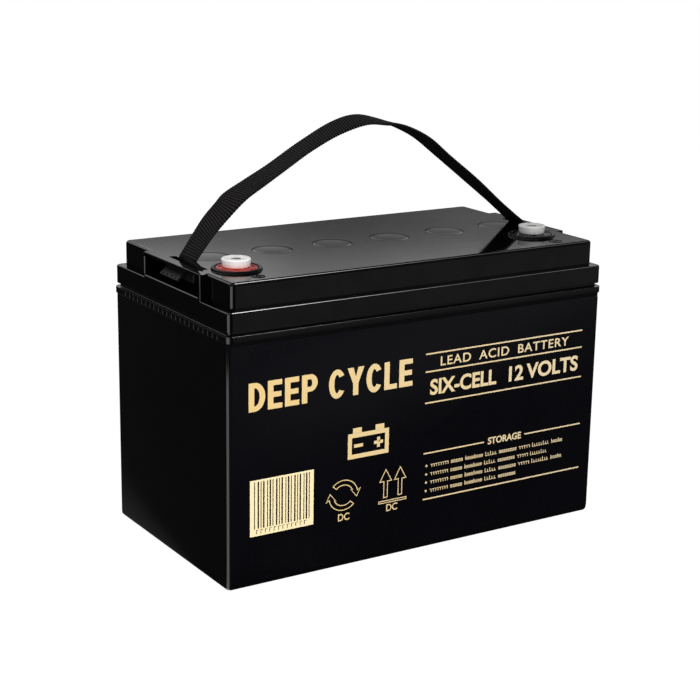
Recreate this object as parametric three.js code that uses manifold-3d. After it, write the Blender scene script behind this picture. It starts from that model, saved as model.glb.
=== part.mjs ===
// Deep cycle battery: a six-cell lead-acid block with folded glass mats between its
// plates, a two-tier lid with a strap pocket at each end, an arched webbing strap,
// insert terminals under white caps, and six vent valves under flush cover discs.
//
// Millimetres, +Z up. The origin is the centre of the underside. +X runs along the
// length and -Y is the front, with the label. The positive terminal is at -X.

import * as THREE from 'three';
import { mergeVertices } from 'three/addons/utils/BufferGeometryUtils.js';
import Module from 'manifold-3d';

const wasm = await Module();
wasm.setup();

// ---------------------------------------------------------------- dimensions
// Tables with halfX, halfY, radius, bottom and top are arguments for slab();
// those with only radius, bottom and top are arguments for cylinder().
const GAP = 0.3;                 // working gap between separate pieces
const FIT = 0.35;                // radial clearance round discs, posts and inserts
const SIDES = [-1, 1];           // the -X and +X ends

// Jar. The body slab is built too tall, then trimmed to lose its upper chamfer.
const JAR = {
  halfX: 152.3, halfY: 83, radius: 4.5, bottom: 0, top: 175,
  bevel: 3.3, bevelSteps: 3, cornerSteps: 3,
};
const JAR_TRIM = 169;
const RIM = { halfX: 153, halfY: 84.6, radius: 5.4, bottom: 167.4, top: 172, bevel: 0.7 };
const NECK = { halfX: 150.2, halfY: 81.3, radius: 3.2, bottom: 166, top: 179 };
const RIM_RIBS = { count: 22, pitch: 6.48, width: 0.9, sink: 0.6, out: 0.35, z: [168.2, 170.9], y: -3.7 };

// Cells. The cavity runs past the neck so that it opens the top.
const CELLS = 6;
const CAVITY = { halfX: 148, halfY: 79.1, radius: 2, bottom: 3.6, top: 190, cornerSteps: 1 };
const PARTITION = { thick: 2.2, top: 178 };
const CELL_PITCH = (2 * CAVITY.halfX + PARTITION.thick) / CELLS;
const CELL_WIDTH = CELL_PITCH - PARTITION.thick;
const LINK = { radius: 3.9, z: 162.5, holeLength: 8, length: PARTITION.thick + 0.5 };

// Lid. The crown and strap blocks are trimmed to lose their lower bevels.
const SKIRT = { halfX: 151.9, halfY: 83.6, radius: 4.6, bottom: 174.5, top: 187.35, bevel: 0.5 };
const SKIRT_HOLLOW = {
  halfX: 150.5, halfY: 81.6, radius: 2.6, bottom: 170, top: 181.4, cornerSteps: 3,
};
const CROWN = { halfX: 146.9, halfY: 78.4, radius: 3.9, bottom: 180, top: 205, bevel: 1 };
const CROWN_TRIM = 182;
const CROWN_WALL = 3;
const CROWN_HOLLOW = {
  halfX: CROWN.halfX - CROWN_WALL, halfY: CROWN.halfY - CROWN_WALL, radius: 2,
  bottom: 180, top: CROWN.top - CROWN_WALL, cornerSteps: 2,
};
const ROOT = 0.4;                // overlap of inner features into the lid's walls
const SEAL = { width: 2, radiusDrop: 1.6, gap: 0.2 };
const LABEL = { halfX: 147.6, halfY: 79.2, radius: 2.5, bottom: -0.14, top: 0.14 };
const LABEL_PLACE = { standOff: 0.2, z: 84.3 };

// Strap pockets, open to the ends of the lid, and the slots in their roofs
const POCKET = {
  halfY: 41.3, frontWall: 2.4, rearWall: 1.4, innerWall: 2.6, floorThick: 2.4,
  depth: 16, sill: 189.1, roof: 202.4,
};
const STRAP_BLOCK = {
  halfX: 9, halfY: POCKET.halfY, radius: 1.2, bottom: 182, top: CROWN.top,
  bevel: 0.7, bevelSteps: 1, cornerSteps: 2,
};
const STRAP_BLOCK_TRIM = 184;
const ROOF_STEP = { depth: 3, y: 24, rise: 1.1 };
const SLOT = {
  x: 144.5, y: -9.5, halfX: 3.3, halfY: 25.5, radius: 1.6,
  bottom: POCKET.roof - 1, top: 207, cornerSteps: 3,
};

// Vents
const VENT_PITCH = 48.2;
const DISC = { radius: 13.75, thick: 1.9, edge: 0.25, segments: 28 };
const WELL = { radius: 9, bottom: 191, top: 204, segments: 14 };
const DISC_SEAT = {
  radius: DISC.radius + FIT, bottom: CROWN.top - DISC.thick - 0.2, top: 208, segments: 28,
};
const DISC_BOSS = { radius: 16.5, bottom: 199.6, top: CROWN_HOLLOW.top + ROOT, segments: 12 };
const WELL_BOSS = { radius: 11.8, bottom: WELL.bottom - 2.4, top: 200, segments: 12 };
const SPOUT = { radius: 3.6, bottom: WELL.bottom - 1, top: 198.4, segments: 10 };
const SPOUT_BORE = { radius: 1.6, bottom: 180, top: 201, segments: 6 };
const VALVE = { radius: 5.4, inner: 3.9, bottom: 193, roof: 198.7, top: 200.8, segments: 12 };

// Terminals
const TERMINAL_X = { positive: -123.2, negative: 119.4 };
const TERMINAL_Y = -42.6;
const TERMINAL_BOSS = {
  radius: 16.6, bottom: 185.6, top: CROWN_HOLLOW.top + ROOT, segments: 16,
};
const TERMINAL_HOLE = { bottom: 180, insertFloor: 195.6, ringFloor: 203, top: 209 };
const COLLAR = { radius: 16.75, inner: 14.3, top: 206.7 };
const RING = { inner: 9.5, radius: 13.95, bottom: 203.3, top: 206.95 };
const RING_NOTCH = { count: 6, radial: 2.2, width: 3.2, height: 3, inset: 1.6, rise: 0.5 };
const INSERT = { radius: 9, bottom: 195.9, top: 206.9, bore: 4, floor: 198 };
const POST = { radius: 8, bottom: 157.4, top: 195.5, segments: 18 };
const ORING = { radius: 9.5, tube: 1.2, z: 190.5, tubeSegments: 6, groove: 1.5 };
const CAP = {
  topRadius: 9.75, bottomRadius: 9.2, bottom: 207.2, top: 212.6,
  hole: 3.2, holeDepth: 3.2, stem: 3.3, stemBottom: 199.5,
};
const CAP_SHIFT = { positive: -0.4, negative: 0 };   // along X

// Plate packs
const PLATE = { thick: { positive: 2.9, negative: 2.1 }, perCell: 11, halfY: 74, z: [8, 146] };
const MAT = { thick: 1.1, gap: 0.3, halfY: 76.5, z: [5.5, 149] };
const PLATE_PITCH = (PLATE.thick.positive + PLATE.thick.negative) / 2 + MAT.thick + 2 * MAT.gap;
const BUS = { y: 46, width: 12, z: [151.5, 157], reach: 12 };
const TAB = { thick: 3, top: 168, wallGap: 0.5 };
const POST_PAD = { halfX: 9, halfY: 9.2 };

// Strap
const STRAP = { width: 25, thick: 2, y: -9, steps: 36 };
const STRAP_PIVOT = { z: 218, radius: STRAP.width / 2 - 0.1 };
const STRAP_END = { x: 144.4, top: 205 };
const STRAP_STOP = {
  x: 144.8, y: STRAP.y, halfX: 5.4, halfY: 14.5, radius: 1.4, bottom: 191.4, top: 198.6,
  bevel: 0.5, bevelSteps: 1, cornerSteps: 2,
};
// Middle line of the arch from the -X foot to the +X foot: [x, z]
const STRAP_PATH = [
  [-141.9, 205.2], [-138.6, 210.5], [-128.6, 223.6], [-118.5, 235.0], [-105.5, 246.2],
  [-90.0, 254.8], [-75.0, 262.4], [-50.0, 274.6], [-26.0, 285.6], [-8.0, 290.6],
  [8.0, 290.2], [25.0, 285.4], [42.0, 277.2], [57.0, 266.6], [75.0, 253.4],
  [90.0, 242.2], [104.0, 231.4], [118.0, 220.4], [130.0, 211.4], [138.2, 205.2],
];

// ----------------------------------------------------------------- materials
const BLACK = 0x121214;
const RUBBER = 0x1b1b1c;
const WEBBING = 0x0b0b0c;
const LEAD = 0x777a80;
const FINISH = {
  jar: { color: BLACK, roughness: 0.32 },
  lid: { color: BLACK, roughness: 0.3 },
  seal: { color: 0x1c1a18, roughness: 0.5 },
  label: { color: 0x0e0f14, roughness: 0.28 },
  disc: { color: BLACK, roughness: 0.34 },
  valve: { color: RUBBER, roughness: 0.8 },
  post: { color: LEAD, roughness: 0.55, metalness: 0.7 },
  insert: { color: 0xb08d4c, roughness: 0.35, metalness: 1 },
  oring: { color: RUBBER, roughness: 0.7 },
  ring: {
    positive: { color: 0xc23a2e, roughness: 0.4 },
    negative: { color: BLACK, roughness: 0.4 },
  },
  collar: { color: BLACK, roughness: 0.32 },
  cap: { color: 0xf0efe8, roughness: 0.4 },
  strap: { color: WEBBING, roughness: 0.85 },
  stop: { color: BLACK, roughness: 0.5 },
  plates: {
    positive: { color: 0x5a3a2a, roughness: 0.75, metalness: 0.1 },
    negative: { color: 0x6f7478, roughness: 0.75, metalness: 0.1 },
  },
  mat: { color: 0xe6e6e0, roughness: 0.95 },
  link: { color: LEAD, roughness: 0.5, metalness: 0.7 },
};

// ------------------------------------------------------------------- helpers
// A closed geometry: shared vertices merged, slivers dropped, faces outward.
function cleanSolid(source) {
  const bare = source.clone();
  bare.deleteAttribute('normal');
  bare.deleteAttribute('uv');
  const geometry = mergeVertices(bare, 1e-4);
  const corners = geometry.index.array;
  const point = i => new THREE.Vector3().fromBufferAttribute(geometry.attributes.position, i);
  const triangles = [];
  let volume = 0;
  for (let i = 0; i < corners.length; i += 3) {
    const [a, b, c] = corners.slice(i, i + 3);
    if (a === b || b === c || a === c) continue;
    triangles.push([a, b, c]);
    volume += point(a).dot(point(b).cross(point(c)));
  }
  geometry.setIndex(triangles.flatMap(([a, b, c]) => (volume < 0 ? [a, c, b] : [a, b, c])));
  return geometry;
}

function toManifold(source) {
  const geometry = cleanSolid(source);
  return new wasm.Manifold(new wasm.Mesh({
    numProp: 3,
    vertProperties: new Float32Array(geometry.attributes.position.array),
    triVerts: new Uint32Array(geometry.index.array),
  }));
}

function toGeometry(manifold) {
  const mesh = manifold.getMesh();
  const geometry = new THREE.BufferGeometry();
  const positions = new Float32Array(mesh.vertProperties);
  geometry.setAttribute('position', new THREE.BufferAttribute(positions, 3));
  geometry.setIndex(new THREE.BufferAttribute(new Uint32Array(mesh.triVerts), 1));
  return geometry;
}

const join = (first, ...rest) => rest.reduce((sum, part) => sum.add(part), first);
const cut = (first, ...rest) => rest.reduce((left, part) => left.subtract(part), first);
const times = (count, make) => Array.from({ length: count }, (_, i) => make(i));

// Ranges [low, high] for box()
const span = (centre, half) => [centre - half, centre + half];
const between = (a, b) => [Math.min(a, b), Math.max(a, b)];
const endSpan = (side, inner, outer) => between(side * inner, side * outer);

function boxGeometry([x0, x1], [y0, y1], [z0, z1]) {
  return new THREE.BoxGeometry(x1 - x0, y1 - y0, z1 - z0)
    .translate((x0 + x1) / 2, (y0 + y1) / 2, (z0 + z1) / 2);
}
const box = (...ranges) => toManifold(boxGeometry(...ranges));
// Block wider than the battery, for keeping only a band of heights
const band = (bottom, top) => box([-200, 200], [-200, 200], [bottom, top]);

// Block with rounded upright corners; the bevel rounds both its ends.
function slabGeometry({
  x = 0, y = 0, halfX, halfY, radius, bottom, top, bevel = 0, bevelSteps = 2, cornerSteps = 4,
}) {
  const points = [];
  for (const [sideX, sideY, start] of [[1, -1, -90], [1, 1, 0], [-1, 1, 90], [-1, -1, 180]]) {
    for (let k = 0; k <= cornerSteps; k++) {
      const angle = THREE.MathUtils.degToRad(start + 90 * k / cornerSteps);
      points.push(new THREE.Vector2(
        x + sideX * (halfX - radius) + radius * Math.cos(angle),
        y + sideY * (halfY - radius) + radius * Math.sin(angle)));
    }
  }
  return new THREE.ExtrudeGeometry(new THREE.Shape(points), {
    depth: top - bottom - 2 * bevel,
    bevelEnabled: bevel > 0,
    bevelThickness: bevel,
    bevelSize: bevel,
    bevelOffset: -bevel,
    bevelSegments: bevelSteps,
  }).translate(0, 0, bottom + bevel);
}
const slab = size => toManifold(slabGeometry(size));

// Solid of revolution about an upright axis at (x, y); profile is [radius, z] pairs.
function latheGeometry(x, y, profile, segments) {
  return new THREE.LatheGeometry(profile.map(pair => new THREE.Vector2(...pair)), segments)
    .rotateX(Math.PI / 2)
    .translate(x, y, 0);
}
const lathe = (...args) => toManifold(latheGeometry(...args));

function cylinderGeometry({ x, y = 0, radius, bottom, top, segments }) {
  return latheGeometry(x, y, [[0, bottom], [radius, bottom], [radius, top], [0, top]], segments);
}
const cylinder = size => toManifold(cylinderGeometry(size));

// Round bar along X, centred on (x, y, z)
function rodGeometry({ x = 0, y, z, radius, length, segments = 16 }) {
  return new THREE.CylinderGeometry(radius, radius, length, segments)
    .rotateZ(Math.PI / 2)
    .translate(x, y, z);
}

const group = new THREE.Group();
group.name = 'deep_cycle_battery';

// Adds a named mesh from a geometry or a manifold.
function put(name, piece, finish) {
  const geometry = piece.isBufferGeometry ? cleanSolid(piece) : toGeometry(piece);
  const mesh = new THREE.Mesh(geometry, new THREE.MeshStandardMaterial(finish));
  mesh.name = name;
  group.add(mesh);
}

// -------------------------------------------------------------------- places
const cellX = i => -CAVITY.halfX - PARTITION.thick / 2 + CELL_PITCH * (i + 0.5);
const partitionX = i => cellX(i) + CELL_PITCH / 2;
// The links through the partitions alternate between the rear (+Y) and the front.
const linkSide = i => (i % 2 === 0 ? 1 : -1);
const linkPlace = i => ({ x: partitionX(i), y: linkSide(i) * BUS.y, z: LINK.z });
const ventX = i => VENT_PITCH * (i - (CELLS - 1) / 2);
// The two strap pockets sit a little off centre.
const pocketY = side => (side < 0 ? -4.4 : 1.9);

// ----------------------------------------------------------------------- jar
// Row of short upright ribs on the rim at one end
function rimRibs(side) {
  const x = endSpan(side, JAR.halfX - RIM_RIBS.sink, RIM.halfX + RIM_RIBS.out);
  return times(RIM_RIBS.count, k => {
    const y = RIM_RIBS.y + RIM_RIBS.pitch * (k - (RIM_RIBS.count - 1) / 2);
    return box(x, span(y, RIM_RIBS.width / 2), RIM_RIBS.z);
  });
}

function jar() {
  const body = slab(JAR).intersect(band(-1, JAR_TRIM));
  const cells = times(CELLS, i => slab({ ...CAVITY, x: cellX(i), halfX: CELL_WIDTH / 2 }));
  // brings the partitions a little below the top of the neck
  const partitionRelief = box(
    span(0, CAVITY.halfX - 1), span(0, CAVITY.halfY - 1), [PARTITION.top, CAVITY.top]);
  const linkHoles = times(CELLS - 1, i => toManifold(rodGeometry({
    ...linkPlace(i), radius: LINK.radius + GAP, length: LINK.holeLength,
  })));
  return cut(
    join(body, slab(RIM), slab(NECK), ...SIDES.flatMap(rimRibs)),
    ...cells, partitionRelief, ...linkHoles);
}
put('case_jar', jar(), FINISH.jar);

// ----------------------------------------------------------------------- lid
function lidShell() {
  const crown = slab(CROWN).intersect(band(CROWN_TRIM, 300));
  const strapBlocks = SIDES.map(side => slab({
    ...STRAP_BLOCK, x: side * (SKIRT.halfX - STRAP_BLOCK.halfX), y: pocketY(side),
  }).intersect(band(STRAP_BLOCK_TRIM, 300)));
  return cut(join(slab(SKIRT), crown, ...strapBlocks), slab(SKIRT_HOLLOW), slab(CROWN_HOLLOW));
}

// Everything that stands inside the shell, before it is bored out
function lidInnerParts() {
  const top = CROWN_HOLLOW.top + 0.5;
  const partitionRibs = times(CELLS - 1, i => box(
    span(partitionX(i), PARTITION.thick / 2),
    span(0, CROWN_HOLLOW.halfY + ROOT),
    [PARTITION.top + GAP, top]));
  const pocketBoxes = SIDES.map(side => box(
    endSpan(side, SKIRT.halfX - POCKET.depth - POCKET.innerWall, CROWN.halfX - 1),
    span(pocketY(side), POCKET.halfY),
    [POCKET.sill - POCKET.floorThick, top]));
  const ventBosses = times(CELLS, i => join(
    cylinder({ ...DISC_BOSS, x: ventX(i) }), cylinder({ ...WELL_BOSS, x: ventX(i) })));
  const terminalBosses = Object.values(TERMINAL_X)
    .map(x => cylinder({ ...TERMINAL_BOSS, x, y: TERMINAL_Y }));
  return [...partitionRibs, ...pocketBoxes, ...ventBosses, ...terminalBosses];
}

// Disc seat and well, with a bored spout standing in the well
function openVent(lid, x) {
  return cut(lid, cylinder({ ...DISC_SEAT, x }), cylinder({ ...WELL, x }))
    .add(cylinder({ ...SPOUT, x }))
    .subtract(cylinder({ ...SPOUT_BORE, x }));
}

// Stepped hole for post, O-ring, insert and polarity ring
function terminalHole(x) {
  const { bottom, insertFloor, ringFloor, top } = TERMINAL_HOLE;
  const post = POST.radius + FIT;
  const insert = INSERT.radius + FIT;
  const groove = ORING.radius + ORING.groove;
  const [grooveBottom, grooveTop] = span(ORING.z, ORING.groove);
  return lathe(x, TERMINAL_Y, [
    [0, bottom], [post, bottom], [post, grooveBottom], [groove, grooveBottom],
    [groove, grooveTop], [post, grooveTop], [post, insertFloor], [insert, insertFloor],
    [insert, ringFloor], [COLLAR.inner, ringFloor], [COLLAR.inner, top], [0, top],
  ], 24);
}

// Pocket, the step in its roof at the mouth, and the slot up to the top face
function pocketCuts(side) {
  const front = pocketY(side) - POCKET.halfY + POCKET.frontWall;
  const rear = pocketY(side) + POCKET.halfY - POCKET.rearWall;
  const mouth = SKIRT.halfX + 2;
  return [
    box(endSpan(side, SKIRT.halfX - POCKET.depth, mouth), [front, rear],
      [POCKET.sill, POCKET.roof]),
    box(endSpan(side, SKIRT.halfX - ROOF_STEP.depth, mouth), [ROOF_STEP.y, rear],
      [POCKET.roof - 1, POCKET.roof + ROOF_STEP.rise]),
    slab({ ...SLOT, x: side * SLOT.x }),
  ];
}

function lid() {
  const solidLid = join(lidShell(), ...lidInnerParts());
  const vented = times(CELLS, ventX).reduce(openVent, solidLid);
  return cut(vented,
    ...Object.values(TERMINAL_X).map(terminalHole), ...SIDES.flatMap(pocketCuts));
}
put('case_lid', lid(), FINISH.lid);

// Frame on top of the neck, under the lid's inner shoulder
function lidSeal() {
  const shoulder = SKIRT_HOLLOW.top;
  const outer = slab({ ...NECK, bottom: NECK.top + SEAL.gap, top: shoulder - SEAL.gap });
  return outer.subtract(slab({
    halfX: NECK.halfX - SEAL.width,
    halfY: NECK.halfY - SEAL.width,
    radius: NECK.radius - SEAL.radiusDrop,
    bottom: NECK.top - 1,
    top: shoulder + 1,
  }));
}
put('lid_seal', lidSeal(), FINISH.seal);

// Printed film over the front face
const label = slabGeometry(LABEL)
  .rotateX(Math.PI / 2)
  .translate(0, -JAR.halfY - LABEL_PLACE.standOff, LABEL_PLACE.z);
put('front_label', label, FINISH.label);

// --------------------------------------------------------------------- vents
function ventDisc(x) {
  const { radius, thick, edge, segments } = DISC;
  const { top } = CROWN;
  return latheGeometry(x, 0, [
    [0, top - thick], [radius, top - thick], [radius, top - edge], [radius - edge, top], [0, top],
  ], segments);
}

// Cap valve, open below, that fits over the spout
function ventValve(x) {
  const { radius, inner, bottom, roof, top, segments } = VALVE;
  return latheGeometry(x, 0, [
    [0, roof], [inner, roof], [inner, bottom], [radius, bottom],
    [radius - 0.4, top - 0.5], [radius - 1, top], [0, top],
  ], segments);
}

for (let i = 0; i < CELLS; i++) {
  put(`vent_disc_${i + 1}`, ventDisc(ventX(i)), FINISH.disc);
  put(`vent_valve_${i + 1}`, ventValve(ventX(i)), FINISH.valve);
}

// ----------------------------------------------------------------- terminals
function terminalInsert(x) {
  const { radius, bottom, top, bore, floor } = INSERT;
  return latheGeometry(x, TERMINAL_Y, [
    [0, bottom], [radius, bottom], [radius, top - 0.4], [radius - 0.4, top],
    [bore + 0.6, top], [bore, top - 0.6], [bore, floor], [0, floor],
  ], 20);
}

function terminalOring(x) {
  const section = times(ORING.tubeSegments, k => {
    const angle = 2 * Math.PI * k / ORING.tubeSegments;
    return [ORING.radius + ORING.tube * Math.cos(angle), ORING.z + ORING.tube * Math.sin(angle)];
  });
  return latheGeometry(x, TERMINAL_Y, [...section, section[0]], 16);
}

// Ring round the insert, with notches in its top face near the inner edge
function polarityRing(x) {
  const { inner, radius, bottom, top } = RING;
  const ring = lathe(x, TERMINAL_Y, [
    [inner, bottom], [radius, bottom], [radius, top - 0.5], [radius - 0.5, top - 0.1],
    [inner + 0.3, top], [inner, top - 0.3], [inner, bottom],
  ], 28);
  const { count, radial, width, height, inset, rise } = RING_NOTCH;
  const notches = times(count, k => {
    const angle = 2 * Math.PI * (k + 0.5) / count;
    const reach = inner + inset;
    return toManifold(new THREE.BoxGeometry(radial, width, height).rotateZ(angle).translate(
      x + reach * Math.cos(angle), TERMINAL_Y + reach * Math.sin(angle), top + rise));
  });
  return cut(ring, ...notches);
}

// Collar round the ring, seated on the lid's top face
function terminalCollar(x) {
  const { radius, inner, top } = COLLAR;
  const bottom = CROWN.top;
  return latheGeometry(x, TERMINAL_Y, [
    [inner, bottom], [radius, bottom], [radius, top - 0.8], [radius - 0.8, top],
    [inner + 0.4, top], [inner, top - 0.4], [inner, bottom],
  ], 28);
}

// Cap with a stem down into the insert and a blind hole in its top
function terminalCap(x) {
  const { topRadius, bottomRadius, bottom, top, hole, holeDepth, stem, stemBottom } = CAP;
  return latheGeometry(x, TERMINAL_Y, [
    [0, stemBottom], [stem - 0.5, stemBottom], [stem, stemBottom + 0.8], [stem, bottom],
    [bottomRadius, bottom], [topRadius, top - 0.7], [topRadius - 0.7, top], [hole, top],
    [hole - 0.3, top - holeDepth], [0, top - holeDepth],
  ], 28);
}

for (const [pole, x] of Object.entries(TERMINAL_X)) {
  put(`terminal_post_${pole}`, cylinderGeometry({ ...POST, x, y: TERMINAL_Y }), FINISH.post);
  put(`terminal_insert_${pole}`, terminalInsert(x), FINISH.insert);
  put(`terminal_oring_${pole}`, terminalOring(x), FINISH.oring);
  put(`polarity_ring_${pole}`, polarityRing(x), FINISH.ring[pole]);
  put(`terminal_collar_${pole}`, terminalCollar(x), FINISH.collar);
  put(`terminal_cap_${pole}`, terminalCap(x + CAP_SHIFT[pole]), FINISH.cap);
}

// --------------------------------------------------------------------- strap
// Webbing that stands up as an arch between the two slots
function strapSpan() {
  const points = STRAP_PATH.map(([x, z]) => new THREE.Vector3(x, 0, z));
  const curve = new THREE.CatmullRomCurve3(points, false, 'centripetal');
  const edge = offset => times(STRAP.steps + 1, k => {
    const point = curve.getPointAt(k / STRAP.steps);
    const tangent = curve.getTangentAt(k / STRAP.steps);
    return new THREE.Vector2(point.x - tangent.z * offset, point.z + tangent.x * offset);
  });
  const outline = [...edge(-STRAP.thick / 2), ...edge(STRAP.thick / 2).reverse()];
  const ribbon = new THREE.ExtrudeGeometry(new THREE.Shape(outline), {
    depth: STRAP.width, bevelEnabled: false,
  }).rotateX(Math.PI / 2).translate(0, STRAP.y + STRAP.width / 2, 0);
  // both feet are rounded about the swing axis, so the arch turns clear of the lid
  const feet = rodGeometry({ ...STRAP_PIVOT, y: STRAP.y, length: 320, segments: 28 });
  const above = box([-160, 160], span(STRAP.y, 20), [STRAP_PIVOT.z, 320]);
  return toManifold(ribbon).intersect(above.add(toManifold(feet)));
}
put('strap_span', strapSpan(), FINISH.strap);

// Webbing end, hanging through the slot
function strapEnd(side) {
  return boxGeometry(
    span(side * STRAP_END.x, STRAP.thick / 2),
    span(STRAP.y, STRAP.width / 2),
    [STRAP_STOP.bottom + 1.3 + GAP, STRAP_END.top]);
}

// Block in the pocket that holds the webbing end in a slit
function strapStop(side) {
  return slab({ ...STRAP_STOP, x: side * STRAP_STOP.x }).subtract(box(
    span(side * STRAP_END.x, STRAP.thick / 2 + GAP),
    span(STRAP.y, STRAP.width / 2 + GAP),
    [STRAP_STOP.bottom + 1.3, 206]));
}

for (const [end, side] of [['left', -1], ['right', 1]]) {
  put(`strap_end_${end}`, strapEnd(side), FINISH.strap);
  put(`strap_stop_${end}`, strapStop(side), FINISH.stop);
}

// --------------------------------------------------------------- plate packs
// Plates stand across the length and alternate along X, with negatives outermost.
const plateXs = cell => times(PLATE.perCell,
  k => cellX(cell) + PLATE_PITCH * (k - (PLATE.perCell - 1) / 2));

// All plates of one kind in a cell, joined by their bus
function plateComb(cell, kind) {
  // direction along X of the cell or terminal that this bus leads to
  const outward = kind === 'negative' ? 1 : -1;
  const half = PLATE.thick[kind] / 2;
  const xs = plateXs(cell).filter((_, k) => k % 2 === (kind === 'negative' ? 0 : 1));
  const busY = span(outward * linkSide(cell) * BUS.y, BUS.width / 2);
  const lugZ = [PLATE.z[1] - 1, BUS.z[0] + 1];
  const comb = join(
    box([xs[0] - half, xs.at(-1) + half], busY, BUS.z),
    ...xs.flatMap(x => [
      box(span(x, half), span(0, PLATE.halfY), PLATE.z),
      box(span(x, half), busY, lugZ),
    ]));
  if (cell === (kind === 'negative' ? CELLS - 1 : 0)) {
    // pad under the terminal post
    return comb.add(box(
      span(TERMINAL_X[kind], POST_PAD.halfX), span(TERMINAL_Y, POST_PAD.halfY), BUS.z));
  }
  // upright weld tab beside the partition, and the bus carried out to it
  const face = cellX(cell) + outward * (CELL_WIDTH / 2 - TAB.wallGap);
  return join(comb,
    box(between(face, face - outward * TAB.thick), busY, [BUS.z[0], TAB.top]),
    box(between(face, cellX(cell) + outward * BUS.reach), busY, BUS.z));
}

// One continuous mat, folded back and forth between all the plates
function separatorMat(cell) {
  const half = MAT.thick / 2;
  const turnY = MAT.halfY - half;
  const runs = plateXs(cell).slice(0, -1).map((x, k) =>
    x + PLATE.thick[k % 2 === 0 ? 'negative' : 'positive'] / 2 + MAT.gap + half);
  const near = [];
  const far = [];
  runs.forEach((x, run) => {
    const travel = run % 2 === 0 ? 1 : -1;   // direction of the run along Y
    for (const end of [-1, 1]) {
      const y = end * travel * turnY;
      const isLoose = run === (end < 0 ? 0 : runs.length - 1);
      const tip = y > 0 ? half : -half;
      near.push(new THREE.Vector2(x - travel * half, y + (isLoose ? tip : half)));
      far.push(new THREE.Vector2(x + travel * half, y + (isLoose ? tip : -half)));
    }
  });
  return new THREE.ExtrudeGeometry(new THREE.Shape([...near, ...far.reverse()]), {
    depth: MAT.z[1] - MAT.z[0], bevelEnabled: false,
  }).translate(0, 0, MAT.z[0]);
}

for (let i = 0; i < CELLS; i++) {
  for (const kind of ['negative', 'positive']) {
    put(`${kind}_plates_${i + 1}`, plateComb(i, kind), FINISH.plates[kind]);
  }
  put(`separator_mat_${i + 1}`, separatorMat(i), FINISH.mat);
}
// Lead plugs through the partitions
for (let i = 0; i < CELLS - 1; i++) {
  const link = rodGeometry({ ...linkPlace(i), radius: LINK.radius, length: LINK.length });
  put(`cell_link_${i + 1}`, link, FINISH.link);
}

export default group;
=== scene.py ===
"""A sealed six-cell battery with a webbing carry strap.

The case stands on z = 0 with its length along x. The labelled front faces -y, left is -x, and
the strap arches over the lid from end to end. Lengths are in mm unless a comment says otherwise;
shapes are scaled to metres as they become meshes.
"""
import bpy
import bmesh
import math
import numpy as np
from mathutils import Matrix, Vector


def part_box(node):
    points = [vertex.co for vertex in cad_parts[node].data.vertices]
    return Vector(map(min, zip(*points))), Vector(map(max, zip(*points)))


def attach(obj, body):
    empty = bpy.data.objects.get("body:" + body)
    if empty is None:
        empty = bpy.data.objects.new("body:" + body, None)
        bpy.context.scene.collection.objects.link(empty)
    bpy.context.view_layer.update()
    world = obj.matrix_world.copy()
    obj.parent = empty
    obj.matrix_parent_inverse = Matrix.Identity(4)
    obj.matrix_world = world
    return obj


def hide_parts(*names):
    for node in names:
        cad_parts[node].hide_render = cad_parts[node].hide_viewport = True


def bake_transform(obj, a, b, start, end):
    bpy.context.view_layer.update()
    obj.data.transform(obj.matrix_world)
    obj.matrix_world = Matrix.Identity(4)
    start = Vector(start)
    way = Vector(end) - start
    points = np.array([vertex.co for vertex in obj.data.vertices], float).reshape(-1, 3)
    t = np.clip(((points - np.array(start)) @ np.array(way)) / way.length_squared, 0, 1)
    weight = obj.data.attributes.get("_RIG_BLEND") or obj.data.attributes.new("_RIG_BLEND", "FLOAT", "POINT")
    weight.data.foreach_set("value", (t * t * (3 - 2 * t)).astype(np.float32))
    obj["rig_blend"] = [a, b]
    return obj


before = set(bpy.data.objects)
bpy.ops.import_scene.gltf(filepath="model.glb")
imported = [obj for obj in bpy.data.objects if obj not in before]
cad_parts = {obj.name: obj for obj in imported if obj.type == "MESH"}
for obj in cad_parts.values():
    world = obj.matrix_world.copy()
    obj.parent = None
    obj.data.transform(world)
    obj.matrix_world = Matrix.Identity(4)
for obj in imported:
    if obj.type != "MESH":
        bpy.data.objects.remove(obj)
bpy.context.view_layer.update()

MM = 0.001
SCENE = bpy.context.scene
MAT = {}                # the object's materials by name


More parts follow.
